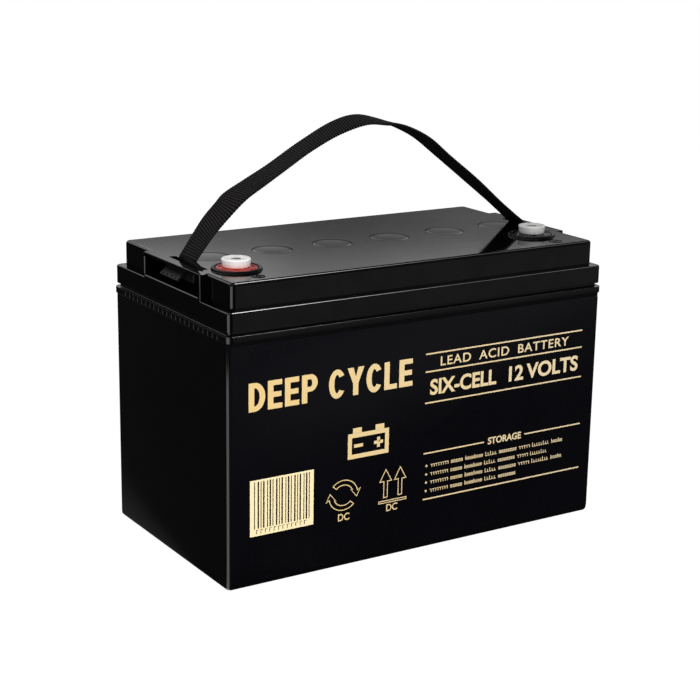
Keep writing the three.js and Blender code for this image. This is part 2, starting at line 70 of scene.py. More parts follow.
# ----------------------------------------------------------------- node tools
class Nodes:
    """Short calls that add and link nodes in one shader tree. Inputs take values or sockets."""

    def __init__(self, tree):
        self.tree = tree

    def feed(self, node, inputs):
        for key, value in inputs.items():
            if isinstance(value, bpy.types.NodeSocket):
                self.tree.links.new(value, node.inputs[key])
            elif value is not None:
                node.inputs[key].default_value = value

    def add(self, kind, inputs=None, **settings):
        node = self.tree.nodes.new(kind)
        for key, value in settings.items():
            setattr(node, key, value)
        self.feed(node, inputs or {})
        return node

    def position(self):
        return self.add("ShaderNodeTexCoord").outputs["Object"]

    def axes(self, vector):
        return self.add("ShaderNodeSeparateXYZ", {0: vector}).outputs

    def noise(self, vector, scale, detail=2.0, roughness=0.5, distortion=0.0):
        return self.add("ShaderNodeTexNoise", {
            "Vector": vector, "Scale": scale, "Detail": detail,
            "Roughness": roughness, "Distortion": distortion}).outputs["Fac"]

    def remap(self, value, low, high, to_low, to_high):
        return self.add("ShaderNodeMapRange", {
            "Value": value, "From Min": low, "From Max": high,
            "To Min": to_low, "To Max": to_high}).outputs[0]

    def spread(self, noise, to_low, to_high):
        """Stretch the middle of a noise over a range."""
        return self.remap(noise, 0.3, 0.7, to_low, to_high)

    def ramp(self, value, stops):
        """Colour ramp; a stop is (position, colour), or (position, grey level)."""
        node = self.add("ShaderNodeValToRGB", {"Fac": value})
        elements = node.color_ramp.elements
        while len(elements) < len(stops):
            elements.new(0.5)
        for element, (place, colour) in zip(elements, stops):
            element.position = place
            element.color = (*(colour if isinstance(colour, tuple) else (colour,) * 3), 1.0)
        return node.outputs["Color"]

    def tint(self, value, dark, light, low=0.3, high=0.7):
        return self.ramp(value, [(low, dark), (high, light)])

    def math(self, operation, a, b=None):
        return self.add("ShaderNodeMath", {0: a, 1: b}, operation=operation).outputs[0]

    def vector(self, operation, vector, by):
        return self.add("ShaderNodeVectorMath", {0: vector, 1: by}, operation=operation).outputs[0]

    def shift(self, vector, by):
        return self.vector("ADD", vector, by)

    def stretch(self, vector, by):
        return self.vector("MULTIPLY", vector, by)

    def mix(self, factor, first, second):
        return self.add("ShaderNodeMix", {0: factor, 6: first, 7: second},
                        data_type="RGBA").outputs[2]

    def bump(self, height, strength, distance, under=None):
        """Bump with its distance in metres, laid over another bump if one is given."""
        return self.add("ShaderNodeBump", {
            "Height": height, "Strength": strength, "Distance": distance,
            "Normal": under}).outputs[0]

    def glow(self, strength, kind="ShaderNodeEmission"):
        return self.add(kind, {"Color": (1, 1, 1, 1), "Strength": strength}).outputs[0]


def new_tree(owner, output_kind):
    owner.use_nodes = True
    nodes = Nodes(owner.node_tree)
    nodes.tree.nodes.clear()
    return nodes, nodes.add(output_kind)


def new_material(name):
    MAT[name] = bpy.data.materials.new(name)
    nodes, output = new_tree(MAT[name], "ShaderNodeOutputMaterial")
    shader = nodes.add("ShaderNodeBsdfPrincipled")
    nodes.feed(output, {0: shader.outputs[0]})
    return nodes, shader, nodes.position()


# ------------------------------------------------------------------ materials
# Shifts between noises keep their patterns from lining up.
def moulded(name, dark, light, rough, spread, grain, specular, scuff, wave, smudge):
    """Moulded plastic: faint flow mottling, fine grain and a few soft scuffs."""
    nodes, shader, at = new_material(name)
    flow = nodes.noise(at, scale=38, detail=3, roughness=0.55, distortion=0.4)
    broad = nodes.noise(nodes.shift(at, (0.37, 0.11, 0.0)), scale=16)
    fine = nodes.noise(nodes.shift(at, (0.0, 0.71, 0.2)), scale=260, roughness=0.6)
    streak = nodes.noise(nodes.stretch(at, (1.0, 1.0, 5.0)),
                         scale=150, detail=4, roughness=0.65, distortion=1.2)
    scuffs = nodes.remap(streak, low=0.62, high=0.78, to_low=0.0, to_high=0.10 * scuff)
    total = nodes.math("ADD", nodes.spread(broad, rough - spread / 2, rough + spread / 2), scuffs)
    total = nodes.math("ADD", total, nodes.spread(fine, -0.015, 0.015))
    grain_noise = nodes.noise(at, scale=2600, roughness=0.6)
    wave_noise = nodes.noise(nodes.shift(at, (0.5, 0.2, 0.9)), scale=22, detail=1, roughness=0.4)
    grain_bump = nodes.bump(grain_noise, strength=grain, distance=0.00004)
    nodes.feed(shader, {
        "Base Color": nodes.tint(flow, dark, light),
        "Roughness": total,
        "Specular IOR Level": specular,
        "IOR": 1.5,
        "Normal": nodes.bump(wave_noise, strength=wave, distance=0.0010, under=grain_bump)})
    if smudge:          # faint wiped smears that vary the shine
        smear_at = nodes.stretch(nodes.shift(at, (0.2, 0.5, 0.1)), (1.0, 0.55, 1.0))
        wipe = nodes.noise(smear_at, scale=21, detail=4, roughness=0.55, distortion=1.6)
        level = nodes.remap(wipe, 0.35, 0.65, specular - smudge, specular + smudge)
        nodes.feed(shader, {"Specular IOR Level": level})


# name, dark colour, light colour,
#   roughness, its spread, grain bump, specular level, scuffs, wave bump, smudge
MOULDED = (
    ("case_black", (0.0008, 0.0008, 0.0010), (0.0013, 0.0013, 0.0015),
     0.17, 0.05, 0.05, 0.5, 0.3, 0.05, 0),
    ("lid_black", (0.0009, 0.0008, 0.0009), (0.0015, 0.0013, 0.0014),
     0.062, 0.025, 0.015, 0.5, 0.25, 0.010, 0.05),
    # lid_edge_shaded: the lid's plastic with dimmer reflections, painted shade along the long top edges
    ("lid_edge_shaded", (0.0009, 0.0008, 0.0009), (0.0015, 0.0013, 0.0014),
     0.075, 0.025, 0.015, 0.20, 0.25, 0.010, 0),
    # recess_painted_shade: darker and duller, painted shade in the strap pockets and disc wells
    ("recess_painted_shade", (0.0003, 0.0003, 0.0003), (0.0005, 0.0005, 0.0005),
     0.40, 0.05, 0.05, 0.06, 0.2, 0.05, 0),
    ("mark_black", (0.0010, 0.0010, 0.0011), (0.0018, 0.0018, 0.0019),
     0.45, 0.05, 0.05, 0.15, 0.2, 0.05, 0),
    ("disc_black", (0.0009, 0.0009, 0.0010), (0.0015, 0.0014, 0.0015),
     0.085, 0.03, 0.015, 0.36, 0.25, 0.012, 0.04),
    ("stop_black", (0.0030, 0.0030, 0.0032), (0.0048, 0.0048, 0.0050),
     0.50, 0.08, 0.25, 0.35, 0.35, 0.10, 0),
    ("collar_black", (0.0012, 0.0011, 0.0012), (0.0022, 0.0020, 0.0022),
     0.24, 0.06, 0.06, 0.24, 0.35, 0.10, 0),
    ("ring_black", (0.0012, 0.0012, 0.0014), (0.0024, 0.0024, 0.0026),
     0.26, 0.06, 0.05, 0.26, 0.35, 0.10, 0),
    ("ring_red", (0.24, 0.009, 0.007), (0.31, 0.014, 0.010),
     0.22, 0.05, 0.02, 0.26, 0.2, 0.02, 0),
    ("epoxy_seal", (0.010, 0.009, 0.008), (0.020, 0.018, 0.016),
     0.25, 0.08, 0.05, 0.5, 0.35, 0.10, 0),
    # cap_hole_shaded: dark grey, painted shade inside the blind hole of the transit caps
    ("cap_hole_shaded", (0.16, 0.155, 0.15), (0.22, 0.215, 0.21),
     0.55, 0.05, 0.1, 0.3, 0.35, 0.10, 0))


def metal(name, dark, light, rough, scale, metallic=1.0, grain=None):
    """Mottled metal or metal paste; without a grain strength it has turned rings instead."""
    nodes, shader, at = new_material(name)
    mottle = nodes.noise(at, scale, detail=4, roughness=0.6, distortion=0.3)
    if grain is None:
        rings = nodes.add("ShaderNodeTexWave", {"Vector": at, "Scale": 900, "Distortion": 0.4},
                          wave_type="RINGS", rings_direction="Z").outputs["Fac"]
        relief = nodes.bump(rings, strength=0.15, distance=0.00005)
    else:
        fine = nodes.noise(at, scale * 9, detail=3, roughness=0.6)
        relief = nodes.bump(fine, strength=grain, distance=0.0002)
    nodes.feed(shader, {
        "Base Color": nodes.tint(mottle, dark, light),
        "Roughness": nodes.spread(mottle, rough - 0.08, rough + 0.1),
        "Metallic": metallic,
        "Normal": relief})


def rubber():
    nodes, shader, at = new_material("rubber_black")
    mottle = nodes.noise(at, scale=300, detail=3, roughness=0.6)
    nodes.feed(shader, {
        "Base Color": nodes.tint(mottle, (0.010, 0.010, 0.010), (0.024, 0.023, 0.022)),
        "Roughness": nodes.spread(mottle, 0.6, 0.8),
        "Normal": nodes.bump(nodes.noise(at, scale=1800), strength=0.3, distance=0.0001)})


def glass_mat():
    """Glass fibre mat: streaks drawn out by stretched noise in two directions."""
    nodes, shader, at = new_material("glass_mat")
    streaks = [nodes.noise(nodes.stretch(at, by), scale=320, detail=4, roughness=0.7, distortion=0.8)
               for by in ((1, 9, 1), (1, 1, 9))]
    fibre = nodes.math("MAXIMUM", *streaks)
    nodes.feed(shader, {
        "Base Color": nodes.tint(fibre, (0.60, 0.60, 0.56), (0.90, 0.90, 0.87), 0.35, 0.75),
        "Roughness": 0.9,
        "Sheen Weight": 0.3,
        "Normal": nodes.bump(fibre, strength=0.6, distance=0.0003)})


def cap_plastic(name, dark, light, painted_ring_bounce):
    """Waxy, slightly see-through polyethylene, with painted bounce light from the ring it stands in, low
    down.
    """
    nodes, shader, at = new_material(name)
    mottle = nodes.noise(at, scale=130, detail=3, roughness=0.55, distortion=0.5)
    height = nodes.axes(at)["Z"]                # metres
    # painted bounce light from the ring, mixed into the colour at the foot of the cap
    foot = nodes.math("MULTIPLY", nodes.remap(height, 0.2072, 0.2100, 0.85, 0.0),
                      nodes.remap(height, 0.2064, 0.2070, 0.0, 1.0))
    nodes.feed(shader, {
        "Base Color": nodes.mix(foot, nodes.tint(mottle, dark, light), (*painted_ring_bounce, 1)),
        "Specular IOR Level": 0.28,
        "Roughness": nodes.spread(nodes.noise(at, scale=420), 0.30, 0.42),
        "Subsurface Weight": 0.35,
        "Subsurface Radius": (1.0, 0.92, 0.82),
        "Subsurface Scale": 0.0022,
        "IOR": 1.51,
        "Normal": nodes.bump(nodes.noise(at, scale=1500), strength=0.08, distance=0.00006)})


def label_film():
    nodes, shader, at = new_material("label_film")
    mottle = nodes.noise(at, scale=24, detail=3)
    gloss = nodes.noise(at, scale=90, detail=4, roughness=0.6)
    grain = nodes.bump(nodes.noise(at, scale=1900), strength=0.04, distance=0.00004)
    nodes.feed(shader, {
        "Base Color": nodes.tint(mottle, (0.0008, 0.0007, 0.0017), (0.0012, 0.0011, 0.0025)),
        "Roughness": nodes.spread(gloss, 0.24, 0.31),
        "Specular IOR Level": 0.42,
        "Normal": nodes.bump(nodes.noise(at, scale=14), strength=0.06, distance=0.0008,
                             under=grain)})


def gold_ink(name, left, right, flake_share, metallic):
    """Screen-printed gold: mostly diffuse with metal flake, its colour shifting left to right."""
    nodes, shader, at = new_material(name)
    flake = nodes.add("ShaderNodeTexVoronoi", {"Vector": at, "Scale": 5200}).outputs["Distance"]
    side = nodes.remap(nodes.axes(at)["X"], low=-0.14, high=0.10, to_low=0.0, to_high=1.0)
    ragged = nodes.spread(nodes.noise(at, scale=60, detail=3, roughness=0.6), -0.10, 0.10)
    ink = nodes.tint(nodes.math("ADD", side, ragged), left, right, 0.0, 1.0)
    shine = nodes.tint(flake, (0.98, 0.84, 0.52), (0.60, 0.42, 0.20), 0.0, 0.6)
    nodes.feed(shader, {
        "Base Color": nodes.mix(flake_share, ink, shine),
        "Metallic": metallic,
        "Roughness": nodes.remap(flake, low=0.0, high=0.6, to_low=0.40, to_high=0.55),
        "Normal": nodes.bump(flake, strength=0.05, distance=0.00003)})


def webbing():
    """Black webbing with fibre fuzz; its colour, driven by a point attribute, holds painted highlights on
    the ribs and painted shade in the valleys.
    """
    nodes, shader, at = new_material("webbing_black")
    painted_shading = nodes.add("ShaderNodeAttribute", attribute_name="painted_shading").outputs["Fac"]
    yarn = nodes.noise(at, scale=900, detail=3, roughness=0.6)
    shade_level = nodes.math("ADD", painted_shading, nodes.spread(yarn, -0.15, 0.15))
    fibre = nodes.noise(at, scale=5200, roughness=0.7)
    nodes.feed(shader, {
        "Base Color": nodes.ramp(shade_level, [(0.15, (0.0002, 0.0002, 0.0002)),
                                               (0.60, (0.0030, 0.0026, 0.0027)),
                                               (0.95, (0.0192, 0.0171, 0.0176))]),
        "Roughness": nodes.spread(yarn, 0.52, 0.70),
        "Specular IOR Level": 0.05,
        "Sheen Weight": 0.003,
        "Sheen Roughness": 0.45,
        "Sheen Tint": (0.5, 0.48, 0.47, 1),
        "Normal": nodes.bump(fibre, strength=0.35, distance=0.00006)})


for row in MOULDED:
    moulded(*row)
metal("lead", (0.20, 0.205, 0.22), (0.40, 0.41, 0.43), rough=0.48, scale=150, grain=0.35)
metal("brass_insert", (0.62, 0.43, 0.18), (0.80, 0.60, 0.30), rough=0.26, scale=90)
metal("sponge_lead", (0.12, 0.125, 0.135), (0.24, 0.25, 0.265),
      rough=0.78, scale=420, metallic=0.35, grain=0.8)
metal("lead_oxide", (0.055, 0.020, 0.012), (0.13, 0.055, 0.034),
      rough=0.85, scale=420, metallic=0.0, grain=0.8)
rubber()
glass_mat()
# The second cap material is the same white plastic made darker: painted shade on the negative cap. Each foot
# colour is painted bounce light from the ring.
cap_plastic("cap_white", dark=(0.77, 0.755, 0.745), light=(0.83, 0.815, 0.805),
            painted_ring_bounce=(0.80, 0.36, 0.32))
cap_plastic("cap_white_shaded", dark=(0.44, 0.44, 0.435), light=(0.50, 0.50, 0.495),
            painted_ring_bounce=(0.26, 0.26, 0.26))
label_film()
gold_ink("gold_print", left=(0.84, 0.60, 0.24), right=(0.76, 0.62, 0.38),
         flake_share=0.12, metallic=0.12)
gold_ink("gold_panel", left=(0.95, 0.80, 0.47), right=(0.95, 0.80, 0.47),
         flake_share=0.05, metallic=0.05)
webbing()


# ----------------------------------------------------------------- mesh tools
def shade(mesh, sharp=None):
    """Smooth shading, with edges beyond the angle `sharp` in degrees kept sharp."""
    mesh.polygons.foreach_set("use_smooth", [True] * len(mesh.polygons))
    if sharp is not None:
        mesh.set_sharp_from_angle(angle=math.radians(sharp))


def mesh_object(name, material, verts, faces, sharp=None):
    """Object from vertices in metres."""
    mesh = bpy.data.meshes.new(name)
    mesh.from_pydata([tuple(v) for v in verts], [], [tuple(f) for f in faces])
    mesh.validate()
    mesh.update()
    ob = bpy.data.objects.new(name, mesh)
    SCENE.collection.objects.link(ob)
    mesh.materials.append(MAT[material])
    shade(mesh, sharp)
    return ob


def apply_modifiers(ob):
    graph = bpy.context.evaluated_depsgraph_get()
    mesh = bpy.data.meshes.new_from_object(ob.evaluated_get(graph),
                                           preserve_all_data_layers=True, depsgraph=graph)
    ob.modifiers.clear()
    ob.data = mesh


def rounded_ring(half_x, half_y, radius, z, seg, at=(0.0, 0.0)):
    """Points of a rounded rectangle, anticlockwise seen from above."""
    points = []
    for sx, sy, start in ((1, -1, -90), (1, 1, 0), (-1, 1, 90), (-1, -1, 180)):
        for k in range(seg + 1):
            a = math.radians(start + 90 * k / seg)
            points.append((at[0] + sx * (half_x - radius) + radius * math.cos(a),
                           at[1] + sy * (half_y - radius) + radius * math.sin(a), z))
    return points


def block_rings(half, radius, z, seg, fillet=(0, 0), at=(0.0, 0.0)):
    """Rings of a rounded block. half: x, y; z: low, high; fillet: at the low and high end;
    seg: steps per upright corner and per fillet."""
    rings = []

    def add_ring(inset, height):
        rings.append(rounded_ring(half[0] - inset, half[1] - inset, max(radius - inset, 0.05),
                                  height, seg[0], at))

    angles = [math.pi / 2 * k / seg[1] for k in range(seg[1] + 1)]
    for a in angles if fillet[0] else angles[-1:]:
        add_ring(fillet[0] * (1 - math.sin(a)), z[0] + fillet[0] * (1 - math.cos(a)))
    for a in angles if fillet[1] else angles[:1]:
        add_ring(fillet[1] * (1 - math.cos(a)), z[1] - fillet[1] * (1 - math.sin(a)))
    return rings


def tube_faces(rows, columns, first=0):
    """Quads between successive closed rings, then a face over each end."""
    index = first + np.arange(rows * columns).reshape(rows, columns)
    low, high = index[:-1], index[1:]
    quads = np.stack([low, np.roll(low, -1, 1), np.roll(high, -1, 1), high], 2).reshape(-1, 4)
    return [*quads.tolist(), index[0][::-1].tolist(), index[-1].tolist()]


def loft(name, material, rings, sharp=None):
    """Rings of equal point count joined into a closed shell."""
    verts = [Vector(point) * MM for ring in rings for point in ring]
    return mesh_object(name, material, verts, tube_faces(len(rings), len(rings[0])), sharp)


def block(name, material, **shape):
    return loft(name, material, block_rings(**shape), sharp=40)


def lathe(name, material, profile, x, y, seg=96, sharp=35, lift=None):
    """Turn (radius, z) pairs about (x, y). A profile that starts off the axis is a closed loop.
    lift(radius, z, angle) gives a height to add."""
    closed = profile[0][0] > 0
    verts, faces, rows = [], [], []
    for radius, z in profile:
        row = []
        for k in range(seg if radius else 1):
            a = 2 * math.pi * k / seg
            row.append(len(verts))
            verts.append((x + radius * math.cos(a), y + radius * math.sin(a),
                          z + (lift(radius, z, a) if lift else 0.0)))
        rows.append(row)
    for low, high in zip(rows, rows[1:] + rows[:1] if closed else rows[1:]):
        for k in range(seg):
            k2 = (k + 1) % seg
            if len(low) == 1:
                faces.append((low[0], high[k2], high[k]))
            elif len(high) == 1:
                faces.append((low[k], low[k2], high[0]))
            else:
                faces.append((low[k], low[k2], high[k2], high[k]))
    return mesh_object(name, material, [Vector(v) * MM for v in verts], faces, sharp)


def arc(x, z, radius, start, end, steps, radius_z=None):
    """Points along an arc between two angles in degrees, elliptical if radius_z is given."""
    angles = [math.radians(start + (end - start) * k / steps) for k in range(steps + 1)]
    return [(x + radius * math.cos(a), z + (radius_z or radius) * math.sin(a)) for a in angles]


def boolean(ob, tool, operation="DIFFERENCE"):
    modifier = ob.modifiers.new("b", "BOOLEAN")
    modifier.operation = operation
    modifier.object = tool
    modifier.solver = "EXACT"
    apply_modifiers(ob)
    bpy.data.objects.remove(tool, do_unlink=True)


def merge(name, parts):
    """One mesh object from several, each keeping its material."""
    joined = bmesh.new()
    materials = []
    index = []
    for part in parts:
        joined.from_mesh(part.data)
        material = part.data.materials[0]
        if material not in materials:
            materials.append(material)
        index += [materials.index(material)] * len(part.data.polygons)
    mesh = bpy.data.meshes.new(name)
    joined.to_mesh(mesh)
    joined.free()
    mesh.polygons.foreach_set("material_index", index)
    for part in parts:
        bpy.data.objects.remove(part, do_unlink=True)
    ob = bpy.data.objects.new(name, mesh)
    for material in materials:
        mesh.materials.append(material)
    SCENE.collection.objects.link(ob)
    return ob


def ride(ob, slot, *replaced, body="root"):
    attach(ob, body)
    if replaced:
        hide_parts(*replaced)


def mm_box(node):
    low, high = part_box(node)
    return [c / MM for c in low], [c / MM for c in high]


def middle(box, axis):
    return (box[0][axis] + box[1][axis]) / 2


# ----------------------------------------------------------------- main sizes
# Sizes ending in _X and _Y are half lengths and half widths, those ending in _Z are heights.
jar_box, lid_box = mm_box("case_jar"), mm_box("case_lid")
RIM_X, RIM_Y = jar_box[1][0] - 0.35, jar_box[1][1]      # jar rim without its end ribs
JAR_X, JAR_Y = RIM_X - 0.7, RIM_Y - 1.6                 # jar body
LIP_X, LIP_Y = 150.2, 81.3                              # upstand inside the rim
CAVITY_X, CAVITY_Y = 148.0, 79.1
CELL_PITCH = 49.7
SKIRT_X, SKIRT_Y = lid_box[1][:2]                       # lower tier of the lid
CROWN_X, CROWN_Y = SKIRT_X - 5.0, SKIRT_Y - 5.2         # upper tier of the lid
SKIRT_Z, LEDGE_Z, TOP_Z = lid_box[0][2], 187.35, 205.0
CORNER_SEG = 12

ENDS = (-1, 1)                          # left and right end; keys of the tables below
POCKET_Y = {-1: -4.4, 1: 1.9}           # middle of each strap pocket
SLOT_Y = {-1: -11.0, 1: -4.0}           # middle of the strap slot in each pocket's roof
RELIEF = {-1: (19.2, -4.4), 1: (14.4, -3.1)}    # roof relief: half width, middle y
STOP_Y = {-1: (-9.5, 0.9), 1: (-3.2, -3.0)}     # strap stop: middle y of its core and its plate
SLOT_AT, SLOT_WIDTH = 142.3, 5.0        # distance from the middle of the lid, and width

disc_boxes = [mm_box(f"vent_disc_{i}") for i in range(1, 7)]
DISC_AT = [middle(box, 0) for box in disc_boxes]
DISC_R = (disc_boxes[0][1][0] - disc_boxes[0][0][0]) / 2
COLLAR_BORE_R = 14.3
TERMINALS = {}                          # side: middle x, y
for side in ("positive", "negative"):
    ring_box = mm_box(f"polarity_ring_{side}")
    TERMINALS[side] = (middle(ring_box, 0), middle(ring_box, 1))


# ------------------------------------------------------------------------ jar
def jar_shell():
    """The jar in one skin: up the outside, round the rim and lip, and down the inside."""
    rings = block_rings(half=(JAR_X, JAR_Y), radius=3.9, z=(0, 10), fillet=(3.3, 0),
                        seg=(CORNER_SEG, 6))[:-1]
    rim_r = 5.4
    under_r, over_r = 0.5, 0.14         # roundings of the rim's lower and upper edge
    # half length, half width, corner radius, z
    stations = [(JAR_X, JAR_Y, 3.9, z) for z in (60, 110, 166.9)]
    stations += [(JAR_X + 0.08, JAR_Y + 0.12, 4.6, 167.2),
                 (JAR_X + 0.25, JAR_Y + 0.45, 4.8, 167.38)]
    for k in range(5):
        a = math.pi / 2 * k / 4
        inset = under_r * (1 - math.sin(a))
        stations.append((RIM_X - min(inset, 0.4), RIM_Y - inset, rim_r - inset,
                         167.42 + under_r * (1 - math.cos(a))))
    for k in range(6):
        a = math.pi / 2 * k / 5
        inset = over_r * (1 - math.cos(a))
        stations.append((RIM_X - inset, RIM_Y - inset, rim_r - inset,
                         172.0 - over_r * (1 - math.sin(a))))
    stations += [(LIP_X + 0.4, LIP_Y + 0.4, 3.4, 172.0),
                 (LIP_X, LIP_Y, 3.2, 172.4),
                 (LIP_X, LIP_Y, 3.2, 178.6),
                 (LIP_X - 0.4, LIP_Y - 0.4, 2.8, 179.0),
                 (CAVITY_X, CAVITY_Y, 2.0, 179.0),
                 (CAVITY_X, CAVITY_Y, 2.0, 5.0),
                 (CAVITY_X - 1.2, CAVITY_Y - 1.2, 1.0, 3.6)]
    rings += [rounded_ring(*station, CORNER_SEG) for station in stations]
    shell = loft("jar_shell", "case_black", rings, sharp=32)
    ride(shell, "case_black", "case_jar")
    return shell


def jar_partitions():
    half_thick = 1.1
    walls = [block("wall", "case_black", half=(half_thick, CAVITY_Y + 0.2), radius=0.3,
                   z=(3.4, 178.0), fillet=(0.2, 0.3), seg=(3, 2),
                   at=(-CAVITY_X - half_thick + CELL_PITCH * (i + 1), 0)) for i in range(5)]
    ride(merge("jar_partitions", walls), "case_black")


def jar_end_ribs():
    """Short upright ribs on the rim at both ends."""
    count, pitch, middle_y = 22, 6.48, -3.7
    ribs = [block("rib", "case_black", half=(0.75, 0.5), radius=0.49, z=(168.0, 171.0),
                  fillet=(0.3, 0.4), seg=(8, 3),
                  at=(s * (RIM_X - 0.25), middle_y + pitch * (k - (count - 1) / 2)))
            for s in ENDS for k in range(count)]
    ride(merge("jar_end_ribs", ribs), "case_black")


jar = jar_shell()
jar_partitions()
jar_end_ribs()


# ------------------------------------------------------------------------ lid
def cut_block(ob, **shape):
    boolean(ob, block("cut", "lid_black", **shape))


def cut_bore(ob, x, y, z, radius, seg=96):
    profile = [(0, z[0]), (radius, z[0]), (radius, z[1]), (0, z[1])]
    boolean(ob, lathe("bore", "lid_black", profile, x, y, seg))


def cut_pocket(lid, s):
    """Hollow out the strap pocket at end s, with its slot and the flare round its mouth."""
    middle_y = POCKET_Y[s] + 0.5
    back_y, step_y = POCKET_Y[s] + 39.9, 24.0
    cut_block(lid, half=(9.0, 39.4), radius=1.0, z=(189.1, 202.4), fillet=(0.5, 0.5), seg=(5, 3),
              at=(s * (SKIRT_X - 7.0), middle_y))
    # higher step at the back of the mouth
    cut_block(lid, half=(3.4, (back_y - step_y) / 2), radius=0.6, z=(200.0, 203.5),
              fillet=(0.2, 0.4), seg=(4, 3), at=(s * (SKIRT_X - 0.6), (back_y + step_y) / 2))
    cut_block(lid, half=(SLOT_WIDTH / 2, 24.0), radius=1.4, z=(201.0, 207.0), seg=(8, 3),
              at=(s * SLOT_AT, SLOT_Y[s]))
    # relief over the stop, so that it can come up under the roof
    relief_half, relief_y = RELIEF[s]
    cut_block(lid, half=(5.4, relief_half), radius=0.6, z=(200.0, 203.7), seg=(4, 3),
              at=(s * 142.5, relief_y))
    mouth = loft("mouth", "lid_black", [rounded_ring(39.4, 6.65, 1.0, -0.05, 5),
                                        rounded_ring(40.35, 7.6, 1.95, 0.9, 5)])
    facing_out = Matrix(((0, 0, s, 0), (s, 0, 0, 0), (0, 1, 0, 0), (0, 0, 0, 1)))
    place = (s * (SKIRT_X - 0.45) * MM, middle_y * MM, 195.75 * MM)
    mouth.data.transform(Matrix.Translation(place) @ facing_out)
    boolean(lid, mouth)


def round_outer_edges(lid):
    """Bevel the convex edges; inner corners stay crisp."""
    bm = bmesh.new()
    bm.from_mesh(lid.data)
    bmesh.ops.remove_doubles(bm, verts=bm.verts, dist=1e-6)
    bmesh.ops.dissolve_degenerate(bm, edges=bm.edges, dist=1e-6)
    layers = bm.edges.layers.float
    weight = layers.get("bevel_weight_edge") or layers.new("bevel_weight_edge")
    for e in bm.edges:
        if len(e.link_faces) == 2 and e.is_convex and e.calc_face_angle(0.0) > math.radians(38):
            e[weight] = 1.0
    bm.to_mesh(lid.data)
    bm.free()
    bevel = lid.modifiers.new("bevel", "BEVEL")
    bevel.width = 0.45 * MM
    bevel.segments = 3
    bevel.limit_method = "WEIGHT"
    bevel.miter_outer = "MITER_ARC"
    bevel.use_clamp_overlap = True
    apply_modifiers(lid)


def assign_lid_painted_shade(lid):
    """Painted shade: a darker, duller copy of the lid's plastic in the pockets and disc wells (slot 1), and
    a copy with dimmer reflections on the long top edges (slot 2).
    """
    for face in lid.data.polygons:
        x, y, z = face.center / MM
        up = face.normal.z
        s = -1 if x < 0 else 1
        in_pocket = (135.5 < abs(x) < SKIRT_X - 0.6 and 188.9 < z < 204.6
                     and abs(y - POCKET_Y[s]) < 39.95 and not (z < 189.4 and up > 0.5))
        in_well = (202.4 < z < TOP_Z - 0.05 and abs(y) < 14.4 and abs(x) < 136
                   and min(math.hypot(x - disc_x, y) for disc_x in DISC_AT) < DISC_R + 0.6)
        on_edge = (TOP_Z - 2.2 < z < TOP_Z - 0.01 and abs(y) > CROWN_Y - 2.25
                   and 0.05 < up < 0.995)
        face.material_index = 1 if in_pocket or in_well else 2 if on_edge else 0


def lid_shell():
    rings = block_rings(half=(SKIRT_X, SKIRT_Y), radius=4.0, z=(SKIRT_Z, LEDGE_Z),
                        fillet=(0.4, 1.2), seg=(CORNER_SEG, 8))
    rings += block_rings(half=(CROWN_X, CROWN_Y), radius=3.8, z=(LEDGE_Z, TOP_Z),
                         fillet=(0, 2.2), seg=(CORNER_SEG, 12))
    lid = loft("lid_shell", "lid_black", rings)
    # painted shade: darker copies of the lid's plastic for the pockets and wells, and for the top edges
    lid.data.materials.append(MAT["recess_painted_shade"])
    lid.data.materials.append(MAT["lid_edge_shaded"])
    for s in ENDS:          # pocket housings out to the lower tier's face
        housing = block("housing", "lid_black", half=(9.0, 41.3), radius=1.1,
                        z=(LEDGE_Z - 3.0, TOP_Z), fillet=(0, 0.55), seg=(6, 4),
                        at=(s * (SKIRT_X - 9.0), POCKET_Y[s]))
        boolean(lid, housing, "UNION")
    # inside of the lid, wide below and clear of the pockets above
    cut_block(lid, half=(150.5, 81.6), radius=2.6, z=(170, 181.4), seg=(6, 4))
    cut_block(lid, half=(CROWN_X - 3 - 16.6, CROWN_Y - 3), radius=2.0, z=(180, 202.0), seg=(6, 4))
    for s in ENDS:
        cut_pocket(lid, s)
    for x, y in TERMINALS.values():
        cut_bore(lid, x, y, z=(203.0, 210), radius=COLLAR_BORE_R)
        cut_bore(lid, x, y, z=(195.0, 204), radius=9.4, seg=64)
    round_outer_edges(lid)
    for x in DISC_AT:       # stepped wells of the cover discs, cut after the bevel to stay crisp
        cut_bore(lid, x, 0, z=(TOP_Z - 2.4, 208), radius=DISC_R + 0.45)
        cut_bore(lid, x, 0, z=(201.0, 203.5), radius=DISC_R - 2.5, seg=64)
    shade(lid.data, sharp=50)
    weighted = lid.modifiers.new("weighted", "WEIGHTED_NORMAL")
    weighted.keep_sharp = True
    weighted.weight = 100
    weighted.mode = "FACE_AREA"
    apply_modifiers(lid)
    assign_lid_painted_shade(lid)
    ride(lid, "lid_black", "case_lid")
    return lid


def collar_ring(side, x, y):
    """Raised collar round a terminal, with a sloping foot."""
    profile = [(COLLAR_BORE_R, 203.2), (16.2, 203.2), (17.25, 204.7), (17.0, 205.12),
               (16.78, 205.5), *arc(15.85, 205.8, 0.9, 0, 90, 6),
               *arc(14.75, 206.3, 0.4, 90, 180, 3)[1:]]
    ring = lathe(f"collar_ring_{side}", "collar_black", profile, x, y, seg=128, sharp=60)
    ride(ring, "lid_black", f"terminal_collar_{side}")


def cover_disc(number, x):
    profile = [(0, TOP_Z - 1.9), (DISC_R - 0.2, TOP_Z - 1.9), (DISC_R, TOP_Z - 1.7),
               *arc(DISC_R - 0.15, TOP_Z - 0.15, 0.15, 0, 90, 3),
               (DISC_R - 1.5, TOP_Z + 0.005), (DISC_R - 4, TOP_Z - 0.015), (0, TOP_Z - 0.03)]
    disc = lathe(f"cover_disc_{number}", "disc_black", profile, x, 0, seg=128, sharp=50)
    ride(disc, "lid_black", f"vent_disc_{number}")


